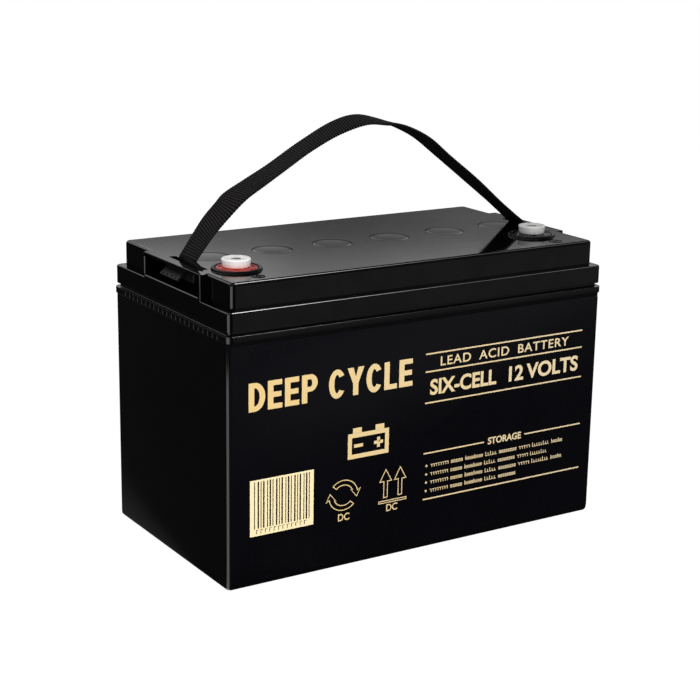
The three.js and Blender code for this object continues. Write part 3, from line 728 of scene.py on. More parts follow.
lid = lid_shell()
for side, (x, y) in TERMINALS.items():
    collar_ring(side, x, y)
for number, x in enumerate(DISC_AT, 1):
    cover_disc(number, x)


# ------------------------------------------------------------------ terminals
def notch(radius, z, angle):
    """Four smooth-sided notches in the inner half of the filler ring's top."""
    if z < 205.5 or not 9.65 < radius < 11.7:
        return 0.0
    turn = (math.degrees(angle) + 118) / 90
    off_middle = abs(turn - round(turn)) * 90           # degrees from the nearest notch
    t = min(max((9.0 - off_middle) / 2.5, 0), 1)
    return -1.5 * t * t * (3 - 2 * t)


def filler_ring(side, x, y):
    profile = [(9.5, 203.3), (13.9, 203.3), (13.95, 203.5), *arc(13.45, 206.1, 0.5, 0, 90, 4),
               (12.75, 206.75), (12.55, 206.78), (11.85, 206.83), (11.6, 206.85),
               (10.4, 206.95), (9.9, 206.99), (9.6, 207.02), (8.6, 207.03), (8.5, 207.0),
               (8.6, 206.95), (9.45, 206.93), (9.5, 206.85)]
    material = "ring_red" if side == "positive" else "ring_black"
    ring = lathe(f"filler_ring_{side}", material, profile, x, y, seg=240, sharp=55, lift=notch)
    ride(ring, material, f"polarity_ring_{side}")


def transit_cap(side, y):
    """Flared disc with a rounded rim, a shallow dish and a blind hole, on a plug."""
    profile = [(0, 199.5), *arc(2.7, 200.1, 0.6, -90, 0, 3),
               (3.3, 206.4), (3.6, 207.0), (4.4, 207.12), (8.7, 207.12),
               *arc(8.8, 207.45, 0.33, -90, 0, 4)[1:], (9.40, 210.0), (9.62, 211.4),
               *arc(8.85, 211.7, 0.9, 5, 90, 7), (7.6, 212.5), (6.2, 212.36), (4.2, 212.32),
               *arc(3.75, 211.9, 0.42, 85, 180, 4), (3.2, 209.3), (2.9, 209.0), (0, 208.95)]
    # the negative cap's darker material is painted shade, not a different plastic
    material = "cap_white" if side == "positive" else "cap_white_shaded"
    x = middle(mm_box(f"terminal_cap_{side}"), 0)
    cap = lathe(f"transit_cap_{side}", material, profile, x, y, seg=128, sharp=60)
    # painted shade inside the blind hole
    cap.data.materials.append(MAT["cap_hole_shaded"])
    for face in cap.data.polygons:
        centre = face.center / MM
        if 208.5 < centre.z < 212.05 and math.hypot(centre.x - x, centre.y - y) < 3.45:
            face.material_index = 1
    ride(cap, "cap_white", f"terminal_cap_{side}", body=f"cap_{side}")

    # mould seam: a thin upright rib that follows the flare of the cap's side
    seam = block(f"cap_seam_{side}", material, half=(0.16, 0.2), radius=0.05, z=(207.8, 209.9),
                 fillet=(0.05, 0.05), seg=(2, 1))
    for vert in seam.data.vertices:
        vert.co.y -= (9.17 + 0.22 * (vert.co.z / MM - 207.9) / 2.1) * MM
    seam.data.transform(Matrix.Translation((x * MM, y * MM, 0))
                        @ Matrix.Rotation(math.radians(-26), 4, "Z"))
    ride(seam, "cap_white", body=f"cap_{side}")


def polarity_mark(side, terminal_x, terminal_y):
    """A ring moulded into the lid in front of the terminal, with a plus or a minus in it."""
    x = terminal_x + (1.6 if side == "positive" else 1.4)
    y = terminal_y - 25.6
    top_z, half_long, half_thick = 205.25, 2.3, 0.55

    def stroke(*half):
        return block("stroke", "mark_black", half=half, radius=0.15, z=(204.9, top_z),
                     fillet=(0, 0.1), seg=(3, 2), at=(x, y))

    ring = [(3.6, 204.9), (4.75, 204.9), (4.75, 205.12), *arc(4.6, 205.1, 0.15, 0, 90, 2)[1:],
            (3.75, top_z), (3.6, 205.12)]
    field = [(0, 204.85), (3.62, 204.85), (3.62, 205.04), (0, 205.05)]
    parts = [lathe("ring", "mark_black", ring, x, y, seg=48, sharp=50),
             stroke(half_long, half_thick),
             lathe("field", "collar_black", field, x, y, seg=48, sharp=50)]
    if side == "positive":
        parts.append(stroke(half_thick, half_long))
    ride(merge(f"polarity_mark_{side}", parts), "lid_black")


for side, (x, y) in TERMINALS.items():
    filler_ring(side, x, y)
    transit_cap(side, y)
    polarity_mark(side, x, y)

# ---------------------------------------------------------------------- label
# The printing is drawn flat in x and z, then stood up on the front of the film.
STAND_UP = Matrix.Rotation(math.pi / 2, 4, "X")
INK_DEPTH = 0.02 * MM
LINE = 0.62                             # width of the thin outlines
HEAD_Z0, HEAD_Z1 = 120.6, 139.8         # foot and top of the heading's capitals
STEM, LEVEL = 4.15, 3.5                 # thickness of its upright and level strokes
prints = []

film = block("label_panel", "label_film", half=(150.2, 80.6), radius=1.6, z=(-0.15, 0.12),
             fillet=(0.02, 0.06), seg=(6, 2))
film.data.transform(Matrix.Translation((0, -(JAR_Y + 0.2) * MM, 84.6 * MM)) @ STAND_UP)
ride(film, "label_film", "front_label")


def add_print(ob, material="gold_print"):
    """Turn a curve or text object into a mesh and add it to the printing."""
    graph = bpy.context.evaluated_depsgraph_get()
    mesh = bpy.data.meshes.new_from_object(ob.evaluated_get(graph), depsgraph=graph)
    mesh.transform(ob.matrix_world.copy())
    bpy.data.objects.remove(ob, do_unlink=True)
    mesh.materials.clear()
    mesh.materials.append(MAT[material])
    printed = bpy.data.objects.new("ink", mesh)
    SCENE.collection.objects.link(printed)
    prints.append(printed)


def shape(points, holes=(), **look):
    """A printed shape from an outline of (x, z) points."""
    curve = bpy.data.curves.new("ink", "CURVE")
    curve.dimensions = "2D"
    curve.fill_mode = "BOTH"
    for loop in (points, *holes):
        spline = curve.splines.new("POLY")
        spline.points.add(len(loop) - 1)
        for point, (x, z) in zip(spline.points, loop):
            point.co = (x * MM, z * MM, 0, 1)
        spline.use_cyclic_u = True
    curve.extrude = INK_DEPTH
    ob = bpy.data.objects.new("ink", curve)
    SCENE.collection.objects.link(ob)
    add_print(ob, **look)


def rectangle(x0, x1, z0, z1):
    return [(x0, z0), (x1, z0), (x1, z1), (x0, z1)]


def bar(x0, x1, z, height, **look):
    """A rectangle centred on height z."""
    shape(rectangle(x0, x1, z - height / 2, z + height / 2), **look)


def frame_rect(x0, x1, z0, z1, t):
    shape(rectangle(x0, x1, z0, z1),
          [[(x0 + t, z0 + t), (x0 + t, z1 - t), (x1 - t, z1 - t), (x1 - t, z0 + t)]])


def outline(points):
    """Thin closed line just inside a polygon that runs anticlockwise."""
    count = len(points)
    inner = []
    for i in range(count):
        before, here, after = (Vector(points[(i + d) % count]) for d in (-1, 0, 1))
        way_in, way_out = (here - before).normalized(), (after - here).normalized()
        normal = Vector((-way_in.y, way_in.x))
        mitre = normal + Vector((-way_out.y, way_out.x))
        mitre = mitre / max(mitre.dot(normal), 0.35)
        inner.append(tuple(here + mitre * LINE))
    shape(points, [inner[::-1]])


def text(body, x0, x1, z0, height, embolden, spacing=1.0, word=1.0):
    """Wording stretched to a box: left edge, right edge, baseline and capital height."""
    curve = bpy.data.curves.new("txt", "FONT")
    curve.body = body
    curve.space_character = spacing
    curve.space_word = word
    curve.offset = embolden
    curve.resolution_u = 6
    ob = bpy.data.objects.new("txt", curve)
    SCENE.collection.objects.link(ob)
    bpy.context.view_layer.update()
    low, high = Vector(ob.bound_box[0]), Vector(ob.bound_box[6])
    wide = (x1 - x0) * MM / (high.x - low.x)
    tall = height * MM / (high.y - low.y)
    curve.extrude = INK_DEPTH
    place = (x0 * MM - low.x * wide, z0 * MM - low.y * tall, 0)
    ob.matrix_world = Matrix.Translation(place) @ Matrix.Diagonal((wide, tall, 1, 1))
    bpy.context.view_layer.update()
    add_print(ob)


def glyph(letter, x0, x1):
    """One heavy capital of the heading between x0 and x1."""
    z0, z1 = HEAD_Z0, HEAD_Z1
    width, height, middle_z = x1 - x0, z1 - z0, (z0 + z1) / 2
    if letter == "L":
        shape([(x0, z0), (x1, z0), (x1, z0 + LEVEL), (x0 + STEM, z0 + LEVEL),
               (x0 + STEM, z1), (x0, z1)])
    elif letter == "E":
        shape([(x0, z0), (x1, z0), (x1, z0 + LEVEL), (x0 + STEM, z0 + LEVEL),
               (x0 + STEM, middle_z - LEVEL / 2), (x1 - 0.7, middle_z - LEVEL / 2),
               (x1 - 0.7, middle_z + LEVEL / 2), (x0 + STEM, middle_z + LEVEL / 2),
               (x0 + STEM, z1 - LEVEL), (x1 - 0.2, z1 - LEVEL), (x1 - 0.2, z1), (x0, z1)])
    elif letter == "D":
        x = x0 + width * 0.36
        bowl = arc(x, middle_z, x1 - x, -90, 90, 20, height / 2)
        inside = arc(x, middle_z, x1 - STEM - x, -90, 90, 20, height / 2 - LEVEL)
        hole = [(x0 + STEM, z0 + LEVEL), *inside, (x0 + STEM, z1 - LEVEL)]
        shape([(x0, z0), *bowl, (x0, z1)], [hole[::-1]])
    elif letter == "P":
        foot = z0 + height * 0.39           # underside of the bowl
        x, z, radius_z = x0 + width * 0.55, (z1 + foot) / 2, (z1 - foot) / 2
        level = LEVEL * 0.95
        bowl = arc(x, z, x1 - x, -90, 90, 16, radius_z)
        inside = arc(x, z, x1 - STEM - x, -90, 90, 16, radius_z - level)
        hole = [(x0 + STEM, foot + level), *inside, (x0 + STEM, z1 - level)]
        shape([(x0, z0), (x0 + STEM, z0), (x0 + STEM, foot), *bowl, (x0, z1)], [hole[::-1]])
    elif letter == "C":
        x, radius_x, radius_z = (x0 + x1) / 2 + 0.1, width / 2, height / 2 + 0.35
        shape(arc(x, middle_z, radius_x, 33, 327, 36, radius_z)
              + arc(x, middle_z, radius_x - STEM, 318, 42, 32, radius_z - LEVEL * 1.05))
    elif letter == "Y":
        x, fork = (x0 + x1) / 2, z0 + height * 0.42
        arm = STEM * 1.12
        shape([(x - STEM / 2, z0), (x + STEM / 2, z0), (x + STEM / 2, fork), (x1, z1),
               (x1 - arm, z1), (x, fork + height * 0.24), (x0 + arm, z1), (x0, z1),
               (x - STEM / 2, fork)])


def heading(word, x0, x1, gap, widths):
    """Capitals of the given relative widths that fill x0 to x1."""
    unit = (x1 - x0 - gap * (len(word) - 1)) / sum(widths)
    x = x0
    for letter, width in zip(word, widths):
        glyph(letter, x, x + unit * width)
        x += unit * width + gap


def small_print(x0, x1, z, lengths):
    """Unreadable letter-like strokes, grouped into words that fill x0 to x1."""
    gap, pitch, height = 1.7, 1.95, 3.1
    low = height * 0.72                 # height of the small letters
    stroke, level = 0.55, 0.55 * 0.9    # thickness of upright and level strokes
    room = (x1 - x0) - gap * (len(lengths) - 1)
    x, drawn = x0, 0
    for length in lengths:
        width = room * length / sum(lengths)
        letters = max(1, round(width / pitch))
        for i in range(letters):
            drawn += 1
            kind = (drawn * 5 + i * 3 + length) % 4
            tall = height if (drawn * 7 + i) % 5 == 0 or i == 0 else low
            a = x + width / letters * i
            b = a + width / letters - 0.5
            if kind == 0:
                shape(rectangle(a, a + stroke, z, z + tall))
                shape(rectangle(b - stroke, b, z, z + low))
            elif kind == 1:
                frame_rect(a, b, z, z + low, level)
            elif kind == 2:
                shape([(a, z), (b, z), (b, z + level), (a + stroke, z + level),
                       (a + stroke, z + tall), (a, z + tall)])
            else:
                shape([(a, z + low - level), (b - stroke, z + low - level), (b - stroke, z),
                       (b, z), (b, z + low), (a, z + low)])
        x += width + gap


def wording():
    heading("DEEP", -136.9, -85.6, gap=1.9, widths=(1.06, 0.94, 0.94, 1.04))
    heading("CYCLE", -77.0, -10.4, gap=1.7, widths=(1.06, 1.1, 1.06, 0.86, 0.92))
    for x0, x1, z in ((0.2, 137.2, 141.0), (0.2, 137.4, 128.4), (0.6, 138.2, 106.2)):
        bar(x0, x1, z, height=1.0)
    text("LEAD  ACID  BATTERY", 12.6, 125.0, 131.3, height=6.6,
         embolden=0.012, spacing=1.12, word=0.9)
    text("SIX-CELL", 4.4, 61.0, 111.3, height=11.4, embolden=0.030)
    text("12 VOLTS", 72.0, 134.6, 111.3, height=11.4, embolden=0.030, word=0.8)
    # small print block: a word between rules, four bulleted lines, closing rule
    bar(0.5, 52.3, 69.9, height=0.95)
    bar(88.2, 139.8, 70.2, height=0.95)
    text("STORAGE", 55.8, 85.2, 67.5, height=5.2, embolden=0.026)
    for z, x1, words in ((59.3, 124.0, 8), (53.1, 110.0, 7), (47.1, 124.0, 8), (41.0, 82.0, 5)):
        shape(arc(3.2, z + 1.4, 0.85, 0, 360, 16)[:-1])
        small_print(6.6, x1, z, [6, 4] * (words // 2) + [6] * (words % 2))
    bar(0.9, 140.6, 36.3, height=1.0)


def stripe_panel():
    """Pale field with evenly repeating unprinted stripes over a row of blank ticks."""
    x0, x1, z0, z1 = -135.9, -87.8, 35.4, 74.1
    foot, head = 5.0, 1.3               # heights of the solid bands below and above the stripes
    printed = [2.4] + [1.5 if i % 3 == 0 else 0.9 for i in range(18)] + [2.4]
    blank = [0.9 if i % 2 else 0.55 for i in range(19)] + [0]
    unit = (x1 - x0) / (sum(printed) + sum(blank))
    x = x0
    for width, space in zip(printed, blank):
        bar(x, x + width * unit, (z0 + foot + z1 - head) / 2, (z1 - head) - (z0 + foot),
            material="gold_panel")
        x += (width + space) * unit
    bar(x0, x1, z1 - head / 2, head, material="gold_panel")
    low, shoulder, high = z0 + 1.4, z0 + 3.75, z0 + 4.2
    ticks = [[(x, low), (x, high), (x + 1.9, high), (x + 1.9, shoulder),
              (x + 0.55, shoulder), (x + 0.55, low)]
             for x in [x0 + 4.6 + 3.3 * i for i in range(12)]]
    shape(rectangle(x0, x1, z0, z0 + foot), ticks, material="gold_panel")


def pictograms():
    # a battery block
    frame_rect(-61.4, -28.7, 76.0, 93.8, 3.1)
    for x0, x1, z, height in ((-57.6, -50.6, 95.6, 3.8), (-39.6, -32.6, 95.6, 3.8),
                              (-56.6, -49.4, 84.9, 2.3), (-40.6, -33.4, 84.9, 2.3),
                              (-38.15, -35.85, 84.9, 7.2)):
        bar(x0, x1, z, height)
    # a cycle of two curved arrows
    curved = [*arc(0, 0, 7.4, 138, 24, 16, 6.9), (5.3, 3.4), (10.6, -2.9), (13.9, 3.6),
              *arc(0, 0, 11.6, 12, 138, 18, 10.9)]
    for flip in (1, -1):
        outline([(-64.4 + flip * x, 51.6 + flip * z) for x, z in curved])
    # a pair of upright arrows over a bar
    for x in (-30.4, -18.6):
        outline([(x - 1.8, 43.6), (x + 1.8, 43.6), (x + 1.8, 55.2), (x + 5.3, 55.2),
                 (x, 64.6), (x - 5.3, 55.2), (x - 1.8, 55.2)])
    frame_rect(-36.0, -13.0, 39.6, 41.7, LINE)
    for x0, x1 in ((-68.4, -59.4), (-29.5, -20.5)):
        text("DC", x0, x1, 33.4, height=5.2, embolden=0.014)


wording()
stripe_panel()
pictograms()
printing = merge("label_print", prints)
printing.data.transform(Matrix.Translation((0, -(JAR_Y + 0.34) * MM, 0)) @ STAND_UP)
ride(printing, "label_film")

# ---------------------------------------------------------------------- strap
# Both selvedges of the webbing as (x, y, z), back then front: up out of the left slot, over the
# arch and down into the right slot.
STRAP = [
    ((-142.2, 3.5, 198.6), (-142.3, -21.5, 198.6)),
    ((-142.1, 3.5, 201.6), (-142.4, -21.5, 201.6)),
    ((-141.9, 3.6, 204.4), (-142.6, -21.8, 204.3)),
    ((-141.2, 3.6, 206.8), (-142.2, -21.7, 206.6)),
    ((-139.6, 3.5, 209.4), (-140.6, -21.6, 209.2)),
    ((-133.6, 3.5, 217.8), (-135.6, -21.5, 215.4)),
    ((-123.7, 3.5, 231.1), (-127.9, -21.5, 224.4)),
    ((-114.6, 3.5, 240.2), (-116.6, -21.5, 235.3)),
    ((-108.6, 3.5, 246.0), (-104.8, -21.5, 245.3)),
    ((-92.4, 3.5, 254.4), (-90.4, -21.5, 253.9)),
    ((-75.6, 3.5, 262.8), (-74.6, -21.5, 263.1)),
    ((-49.7, 3.5, 277.4), (-54.1, -21.5, 274.8)),
    ((-23.4, 3.5, 289.8), (-30.8, -21.5, 284.9)),
    ((-5.0, 3.5, 293.4), (-9.5, -21.5, 289.9)),
    ((10.5, 3.5, 290.4), (6.8, -21.5, 288.7)),
    ((26.5, 4.6, 284.5), (21.1, -20.6, 287.1)),
    ((45.0, 5.4, 275.6), (42.3, -19.7, 277.9)),
    ((66.3, 6.3, 260.4), (62.5, -18.9, 262.9)),
    ((93.1, 7.4, 240.5), (88.8, -17.8, 243.6)),
    ((117.0, 8.4, 222.7), (112.0, -16.9, 224.7)),
    ((131.4, 9.0, 211.2), (130.9, -16.0, 210.7)),
    ((137.4, 9.5, 206.6), (137.2, -15.5, 206.5)),
    ((141.0, 9.5, 203.9), (141.0, -15.5, 203.9)),
    ((142.3, 9.5, 201.2), (142.3, -15.5, 201.2)),
    ((142.3, 9.5, 198.6), (142.3, -15.5, 198.6))]
# Fold at the foot of the left leg: four lines from its top round to its tuck, each the back,
# middle and front control point (x, y, z) of a quadratic curve.
FOLD = np.array([
    [[-141.4, -7.0, 208.9], [-142.4, -21.5, 208.3], [-144.4, -35.6, 205.7]],
    [[-144.2, -8.5, 207.2], [-144.9, -22.0, 206.9], [-146.0, -36.0, 205.5]],
    [[-144.9, -9.0, 205.0], [-145.9, -22.5, 205.0], [-146.3, -36.4, 204.9]],
    [[-143.2, -9.5, 202.5], [-143.4, -22.5, 202.3], [-143.6, -34.0, 202.4]]])
STRAP_THICK, STRAP_WIDTH = 1.75, 25.0
RIB_PITCH, YARN_COLUMNS = 1.95, 18
STRAP_STEP, STRAP_ACROSS = 0.30, 54     # spacing along the strap, and points across each face
FOLD_ROWS, FOLD_ACROSS = 61, 25


def spline(points):
    """Dense centripetal spline through the points, and its length so far at each place.
    Lengths are taken over the first two columns."""
    P = np.array(points, float)
    P = np.vstack([2 * P[0] - P[1], P, 2 * P[-1] - P[-2]])
    out = []
    for i in range(1, len(P) - 2):
        p0, p1, p2, p3 = P[i - 1:i + 3]
        d = [np.linalg.norm(q[:2] - p[:2]) ** 0.5 for p, q in ((p0, p1), (p1, p2), (p2, p3))]
        t0, t1, t2, t3 = 0, d[0], d[0] + d[1], d[0] + d[1] + d[2]
        for t in np.linspace(t1, t2, 60, endpoint=False):
            a1 = (t1 - t) / (t1 - t0) * p0 + (t - t0) / (t1 - t0) * p1
            a2 = (t2 - t) / (t2 - t1) * p1 + (t - t1) / (t2 - t1) * p2
            a3 = (t3 - t) / (t3 - t2) * p2 + (t - t2) / (t3 - t2) * p3
            b1 = (t2 - t) / (t2 - t0) * a1 + (t - t0) / (t2 - t0) * a2
            b2 = (t3 - t) / (t3 - t1) * a2 + (t - t1) / (t3 - t1) * a3
            out.append((t2 - t) / (t2 - t1) * b1 + (t - t1) / (t2 - t1) * b2)
    out.append(P[-2])
    out = np.array(out)
    steps = np.linalg.norm(np.diff(out[:, :2], axis=0), axis=1)
    return out, np.concatenate([[0], np.cumsum(steps)])


def edge_normals(edge):
    """Smoothed (x, z) normals of a selvedge, pointing up over the arch."""
    tangent = np.gradient(edge[:, [0, 2]], axis=0)
    for _ in range(6):
        tangent[1:-1] = (tangent[:-2] + 2 * tangent[1:-1] + tangent[2:]) / 4
    tangent /= np.linalg.norm(tangent, axis=1)[:, None]
    return np.stack([-tangent[:, 1], tangent[:, 0]], 1)


def strap_span():
    """Points (row, column, xyz) of the ribbed webbing, and brightness for its colour: painted highlights on
    the ribs and painted shade in the valleys.
    """
    dense, length = spline([(back[0] / 2 + front[0] / 2, back[2] / 2 + front[2] / 2,
                             *back, *front) for back, front in STRAP])
    along = np.linspace(0, length[-1], int(length[-1] / STRAP_STEP))
    path = np.stack([np.interp(along, length, column) for column in dense.T], 1)
    back, front = path[:, 2:5], path[:, 5:8]
    back_normal, front_normal = edge_normals(back), edge_normals(front)
    # the selvedge wanders a little from rib to rib
    wander = 0.11 * np.abs(np.sin(np.pi * along / RIB_PITCH))[:, None] ** 0.7
    faces, painted_shadings = [], []
    for side in (1, -1):                # outer face, then inner face
        q = np.linspace(-1, 1, STRAP_ACROSS)[::side]
        edge = np.clip(1 - np.abs(q) ** 9, 0, 1) ** 0.5     # thins at the selvedge
        column = (q * 0.5 + 0.5) * YARN_COLUMNS
        yarn = np.abs(np.sin(np.pi * column)) ** 0.55
        parity = np.floor(column).astype(int) % 2
        phase = along[:, None] / RIB_PITCH + 0.06 * parity + (0.5 if side == -1 else 0.0)
        rib = np.abs(np.sin(np.pi * phase)) ** 1.1
        relief = (0.28 * rib * (0.62 + 0.38 * yarn)) * np.clip(edge * 1.6, 0, 1)
        offset = side * (STRAP_THICK / 2 - 0.12) * edge + side * relief
        # 0 at the front selvedge, 1 at the back one
        t = (q * 0.5 + 0.5) + (wander / STRAP_WIDTH) * np.sign(q) * (np.abs(q) > 0.97)
        t = t[:, :, None]
        points = front[:, None] * (1 - t) + back[:, None] * t
        normal = front_normal[:, None] * (1 - t) + back_normal[:, None] * t
        normal /= np.linalg.norm(normal, axis=2)[:, :, None]
        points[:, :, [0, 2]] += normal * offset[:, :, None]
        faces.append(points)
        # painted highlights on the ribs and painted shade between them
        painted_shadings.append(rib * (0.80 + 0.20 * yarn))
    points, painted_shading = np.hstack(faces), np.hstack(painted_shadings)
    # painted shade: the webbing's colour is darker where it goes into the slots
    return points, painted_shading * np.clip((points[:, :, 2] - 204.0) / 5.0, 0.05, 1)


def strap_fold():
    """Points of the selvedge doubled over and turned into the left slot, and brightness for its colour: low
    all over as painted shade, with faint painted highlights on the ripples of the outer face.
    """
    t = np.linspace(0, 1, FOLD_ROWS)
    quadratic = np.stack([(1 - t) ** 2, 2 * t * (1 - t), t * t], 1)
    grid = np.einsum("tj,kjc->tkc", quadratic, FOLD)
    s = np.linspace(0, 1, FOLD_ACROSS)
    cubic = np.stack([(1 - s) ** 3, 3 * s * (1 - s) ** 2, 3 * s ** 2 * (1 - s), s ** 3], 1)
    outer = np.einsum("kp,tpc->tkc", cubic, grid)
    inner = outer + np.array([1.2, 0.0, -0.35])
    points = np.concatenate([outer, inner[:, ::-1]], 1)
    rib_phase = np.arange(FOLD_ROWS) / FOLD_ROWS * 28 / RIB_PITCH
    on_outer = np.arange(2 * FOLD_ACROSS) < FOLD_ACROSS
    ripple = 0.10 * np.abs(np.sin(rib_phase * np.pi))[:, None] * on_outer
    points[:, :, 0] -= ripple
    return points, np.clip(ripple * 3.5, 0, 0.35)


def carry_strap():
    verts, faces, painted_shading = [], [], []
    count = 0
    for points, level in (strap_span(), strap_fold()):
        faces += tube_faces(*points.shape[:2], first=count)
        count += level.size
        verts.append(points.reshape(-1, 3))
        painted_shading.append(level.reshape(-1))
    strap = mesh_object("carry_strap", "webbing_black", np.vstack(verts) * MM, faces, sharp=75)
    # brightness for the webbing's colour: painted highlights and painted shade
    attribute = strap.data.attributes.new("painted_shading", "FLOAT", "POINT")
    attribute.data.foreach_set("value", np.concatenate(painted_shading).astype(np.float32))
    bm = bmesh.new()
    bm.from_mesh(strap.data)
    bmesh.ops.recalc_face_normals(bm, faces=bm.faces)
    bm.to_mesh(strap.data)
    bm.free()
    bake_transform(strap, "strap_ends", "strap", (0, -0.009, 0.2062), (0, -0.009, 0.2450))
    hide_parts("strap_span", "strap_end_left", "strap_end_right")


def strap_stop(side, s):
    """A block under the slot with a drilled plate that leans out of the pocket."""
    core_y, plate_y = STOP_Y[s]
    stop = block(f"stop_{side}", "stop_black", half=(2.6, 13.2), radius=1.0, z=(193.6, 199.4),
                 fillet=(0.5, 0.4), seg=(5, 3))
    stop.data.transform(Matrix.Translation((s * 141.9 * MM, core_y * MM, 0)))
    plate = block("plate", "stop_black", half=(4.6, 13.0), radius=1.1, z=(-0.8, 0.8),
                  fillet=(0.25, 0.25), seg=(6, 3))
    for k in range(4):
        boolean(plate, lathe("hole", "stop_black", [(0, -3), (0.85, -3), (0.85, 3), (0, 3)],
                             -3.2, (k - 1.5) * 6.2, seg=24))
    plate.data.transform(Matrix.Translation((s * 147.2 * MM, plate_y * MM, 196.7 * MM))
                         @ Matrix.Rotation(math.radians(s * 40.0), 4, "Y")
                         @ Matrix.Rotation(0.0 if s < 0 else math.pi, 4, "Z"))
    boolean(stop, plate, "UNION")
    shade(stop.data, sharp=40)
    ride(stop, "stop_black", f"strap_stop_{side}", body="strap_ends")


carry_strap()
for side, s in zip(("left", "right"), ENDS):
    strap_stop(side, s)

# ------------------------------------------ materials of the nodes kept from CAD
NODE_MATERIALS = {              # start of the node's name: material
    "positive_plates": "lead_oxide", "negative_plates": "sponge_lead", "separator": "glass_mat",
    "cell_link": "lead", "terminal_post": "lead", "terminal_insert": "brass_insert",
    "vent_valve": "rubber_black", "terminal_oring": "rubber_black"}

for name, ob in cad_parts.items():
    material = "epoxy_seal" if name == "lid_seal" else next(
        (value for start, value in NODE_MATERIALS.items() if name.startswith(start)), None)
    if material:
        ob.data.materials.clear()
        ob.data.materials.append(MAT[material])

# ---------------------------------------------------------------------- stage
# Positions and sizes from here on are in metres.
FLOOR_PAINT, FLOOR_GLOW = 0.06, 0.985       # what the camera sees: diffuse grey and own light
FLOOR_BOUNCE, SKY_FILL = 0.68, 0.21         # soft light given to the set
FLOOR_DARK, CARD, FRONT_FAR, BEHIND = 0.015, 2.0, 0.16, 0.10    # floor levels in reflections
# sky in reflections: (direction z, level) upwards, and (direction x, level) across
SKY_UP = ((0.0, 0.10), (0.150, 0.10), (0.174, 0.135), (0.196, 0.20), (0.225, 0.74),
          (0.27, 1.05), (0.30, 0.9), (0.36, 0.0))
SKY_ACROSS = ((0.42, 1.20), (0.45, 1.20), (0.465, 1.06), (0.475, 1.06), (0.488, 0.87),
              (0.50, 0.745), (0.512, 0.73), (0.525, 0.77), (0.537, 0.81), (0.549, 0.93),
              (0.561, 1.01), (0.573, 1.09), (0.585, 1.22), (0.62, 1.22))
SKY_LEFT = 1.15                             # level high up on the left
# brightness along the overhead strip: (place, level)
STRIP_FADE = ((0.0, 1.0), (0.267, 1.0), (0.364, 0.54), (0.46, 0.33), (0.556, 0.17),
              (0.65, 0.085), (1.0, 0.085))


def split_rays(nodes, output, camera, glossy, other):
    """One look for the camera, one for mirror-like reflections, one for soft light."""
    path = nodes.add("ShaderNodeLightPath").outputs
    unseen = nodes.add("ShaderNodeMixShader", {0: path["Is Glossy Ray"], 1: other, 2: glossy})
    seen = nodes.add("ShaderNodeMixShader",
                     {0: path["Is Camera Ray"], 1: unseen.outputs[0], 2: camera})
    nodes.feed(output, {0: seen.outputs[0]})


def floor_material():
    material = bpy.data.materials.new("floor_white")
    nodes, output = new_tree(material, "ShaderNodeOutputMaterial")
    paint = nodes.add("ShaderNodeBsdfDiffuse", {"Color": (*(FLOOR_PAINT,) * 3, 1)})
    seen = nodes.add("ShaderNodeAddShader", {0: paint.outputs[0], 1: nodes.glow(FLOOR_GLOW)})
    # In reflections the floor is dark, but for a bright card to the front left, a soft patch to
    # the front right and a faint wedge behind. Azimuths are in degrees about the front left
    # corner: 0 to the front, positive to the right.
    from_corner = nodes.axes(nodes.shift(nodes.position(), (0.148, 0.079, 0.0)))
    azimuth = nodes.math("ARCTAN2", from_corner["X"],
                         nodes.math("MULTIPLY", from_corner["Y"], -1.0))
    azimuth = nodes.math("MULTIPLY", azimuth, 180 / math.pi)
    card = nodes.math("MULTIPLY", nodes.remap(azimuth, -92, -82, 0, 1),
                      nodes.remap(azimuth, -46, -36, 1, 0))
    front = nodes.math("MULTIPLY", nodes.remap(azimuth, 8, 26, 0, 1),
                       nodes.remap(azimuth, 90, 110, 1, 0))
    forward = nodes.math("MULTIPLY", from_corner["Y"], -1.0)
    front = nodes.math("MULTIPLY", front, nodes.remap(forward, 0.16, 0.62, 0.0, FRONT_FAR))
    behind = nodes.remap(nodes.math("ABSOLUTE", azimuth), 171, 180, 0.0, BEHIND)
    dim = nodes.math("ADD", nodes.math("ADD", front, behind), FLOOR_DARK)
    level = nodes.math("ADD", nodes.math("MULTIPLY", card, CARD), dim)
    split_rays(nodes, output, camera=seen.outputs[0], glossy=nodes.glow(level),
               other=nodes.glow(FLOOR_BOUNCE))
    return material


def build_floor():
    mesh = bpy.data.meshes.new("floor")
    mesh.from_pydata([(-30, -30, 0), (30, -30, 0), (30, 30, 0), (-30, 30, 0)], [],
                     [(0, 1, 2, 3)])
    floor = bpy.data.objects.new("floor", mesh)
    floor.location = (0, 0, -0.0002)
    SCENE.collection.objects.link(floor)
    mesh.materials.append(floor_material())


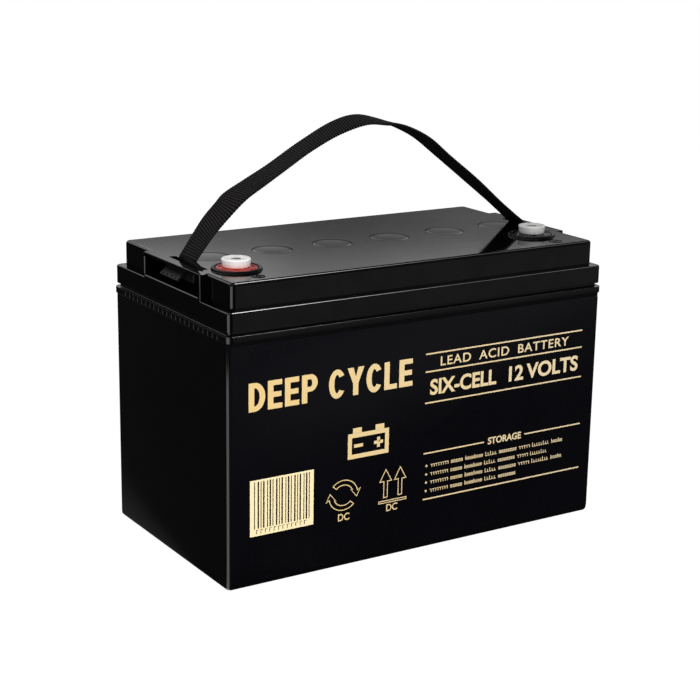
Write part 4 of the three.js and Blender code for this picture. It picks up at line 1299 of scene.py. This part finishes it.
def build_world():
    """White to the camera; in reflections graded by direction, dim near the ground."""
    world = bpy.data.worlds.new("studio")
    SCENE.world = world
    nodes, output = new_tree(world, "ShaderNodeOutputWorld")
    way = nodes.axes(nodes.add("ShaderNodeTexCoord").outputs["Generated"])
    low = nodes.math("MULTIPLY", nodes.ramp(way["Z"], SKY_UP),
                     nodes.remap(way["X"], -0.10, 0.25, 0.04, 1.0))
    # the ramp holds half levels over its own span of x, as it can't go above 1
    across = nodes.remap(way["X"], 0.40, 0.65, 0.0, 1.0)
    across = nodes.ramp(across, [((x - 0.40) / 0.25, level / 2) for x, level in SKY_ACROSS])
    low = nodes.math("MULTIPLY", low, nodes.math("MULTIPLY", across, 2.0))
    high = nodes.math("MULTIPLY", nodes.remap(way["Z"], 0.28, 0.38, 0.0, 1.0),
                      nodes.remap(way["X"], -0.04, 0.12, SKY_LEFT, 0.05))
    level = nodes.math("MULTIPLY", nodes.math("ADD", low, high),
                       nodes.remap(way["Y"], -0.45, 0.15, 0.38, 1.0))
    kind = "ShaderNodeBackground"
    split_rays(nodes, output, camera=nodes.glow(1.0, kind), glossy=nodes.glow(level, kind),
               other=nodes.glow(SKY_FILL, kind))


def area_light(name, place, size, power):
    light = bpy.data.lights.new(name, "AREA")
    light.shape = "RECTANGLE"
    light.size, light.size_y = size
    light.energy = power
    ob = bpy.data.objects.new(name, light)
    SCENE.collection.objects.link(ob)
    ob.location = place
    return ob


def softbox(name, place, target, size, power):
    """Area light aimed at a point and left out of reflections."""
    ob = area_light(name, place, size, power)
    ob.rotation_mode = "QUATERNION"
    ob.rotation_quaternion = (Vector(target) - Vector(place)).to_track_quat("-Z", "Y")
    ob.visible_glossy = False


def overhead_strip():
    """Long light facing down that fades to the right and shows only in the lid and jar's gloss."""
    strip = area_light("strip_overhead", place=(0.60, -0.335, 1.16), size=(0.90, 0.34), power=46.0)
    strip.visible_diffuse = False
    receivers = bpy.data.collections.new("strip_receivers")
    for ob in (lid, jar):
        receivers.objects.link(ob)
    strip.light_linking.receiver_collection = receivers
    strip.data.use_nodes = True
    nodes = Nodes(strip.data.node_tree)
    emission = next(node for node in nodes.tree.nodes if node.type == "EMISSION")
    place = nodes.axes(nodes.add("ShaderNodeNewGeometry").outputs["Parametric"])["X"]
    nodes.feed(emission, {"Strength": nodes.ramp(place, STRIP_FADE)})


build_floor()
build_world()
softbox("key_left", place=(-1.3, -0.9, 1.5), target=(0, 0, 0.12), size=(1.0, 1.0), power=30)
softbox("fill_front", place=(0.4, -2.0, 1.0), target=(0, 0, 0.10), size=(1.4, 1.0), power=30)
softbox("top_back", place=(0.2, 1.1, 1.7), target=(0, 0, 0.15), size=(1.6, 0.8), power=5)
overhead_strip()

# --------------------------------------------------------------------- camera
AZIMUTH, ELEVATION, ROLL = (math.radians(a) for a in (-32.6089, 15.0949, -0.9598))
DISTANCE = 1.18520
TARGET = Vector((-0.00692, 0, 0.12669))


def build_camera():
    """Camera that orbits the target: azimuth from the front, elevation, then roll."""
    camera = bpy.data.cameras.new("camera")
    ob = bpy.data.objects.new("camera", camera)
    SCENE.collection.objects.link(ob)
    back = Vector((math.sin(AZIMUTH) * math.cos(ELEVATION),
                   -math.cos(AZIMUTH) * math.cos(ELEVATION), math.sin(ELEVATION)))
    right = Vector((math.cos(AZIMUTH), math.sin(AZIMUTH), 0))
    up = back.cross(right)
    cosine, sine = math.cos(ROLL), math.sin(ROLL)
    right, up = right * cosine - up * sine, right * sine + up * cosine
    place = TARGET + back * DISTANCE
    rows = [(right[i], up[i], back[i], place[i]) for i in range(3)]
    ob.matrix_world = Matrix((*rows, (0, 0, 0, 1)))
    camera.sensor_width = 36
    camera.lens = 84.853543
    camera.shift_x = -0.0015142857
    camera.shift_y = -0.0027714286
    camera.clip_start = 0.05
    camera.clip_end = 100
    SCENE.camera = ob


build_camera()
SCENE.view_settings.view_transform = "Standard"
SCENE.view_settings.look = "None"
SCENE.view_settings.exposure = 0.0
SCENE.view_settings.gamma = 1.0
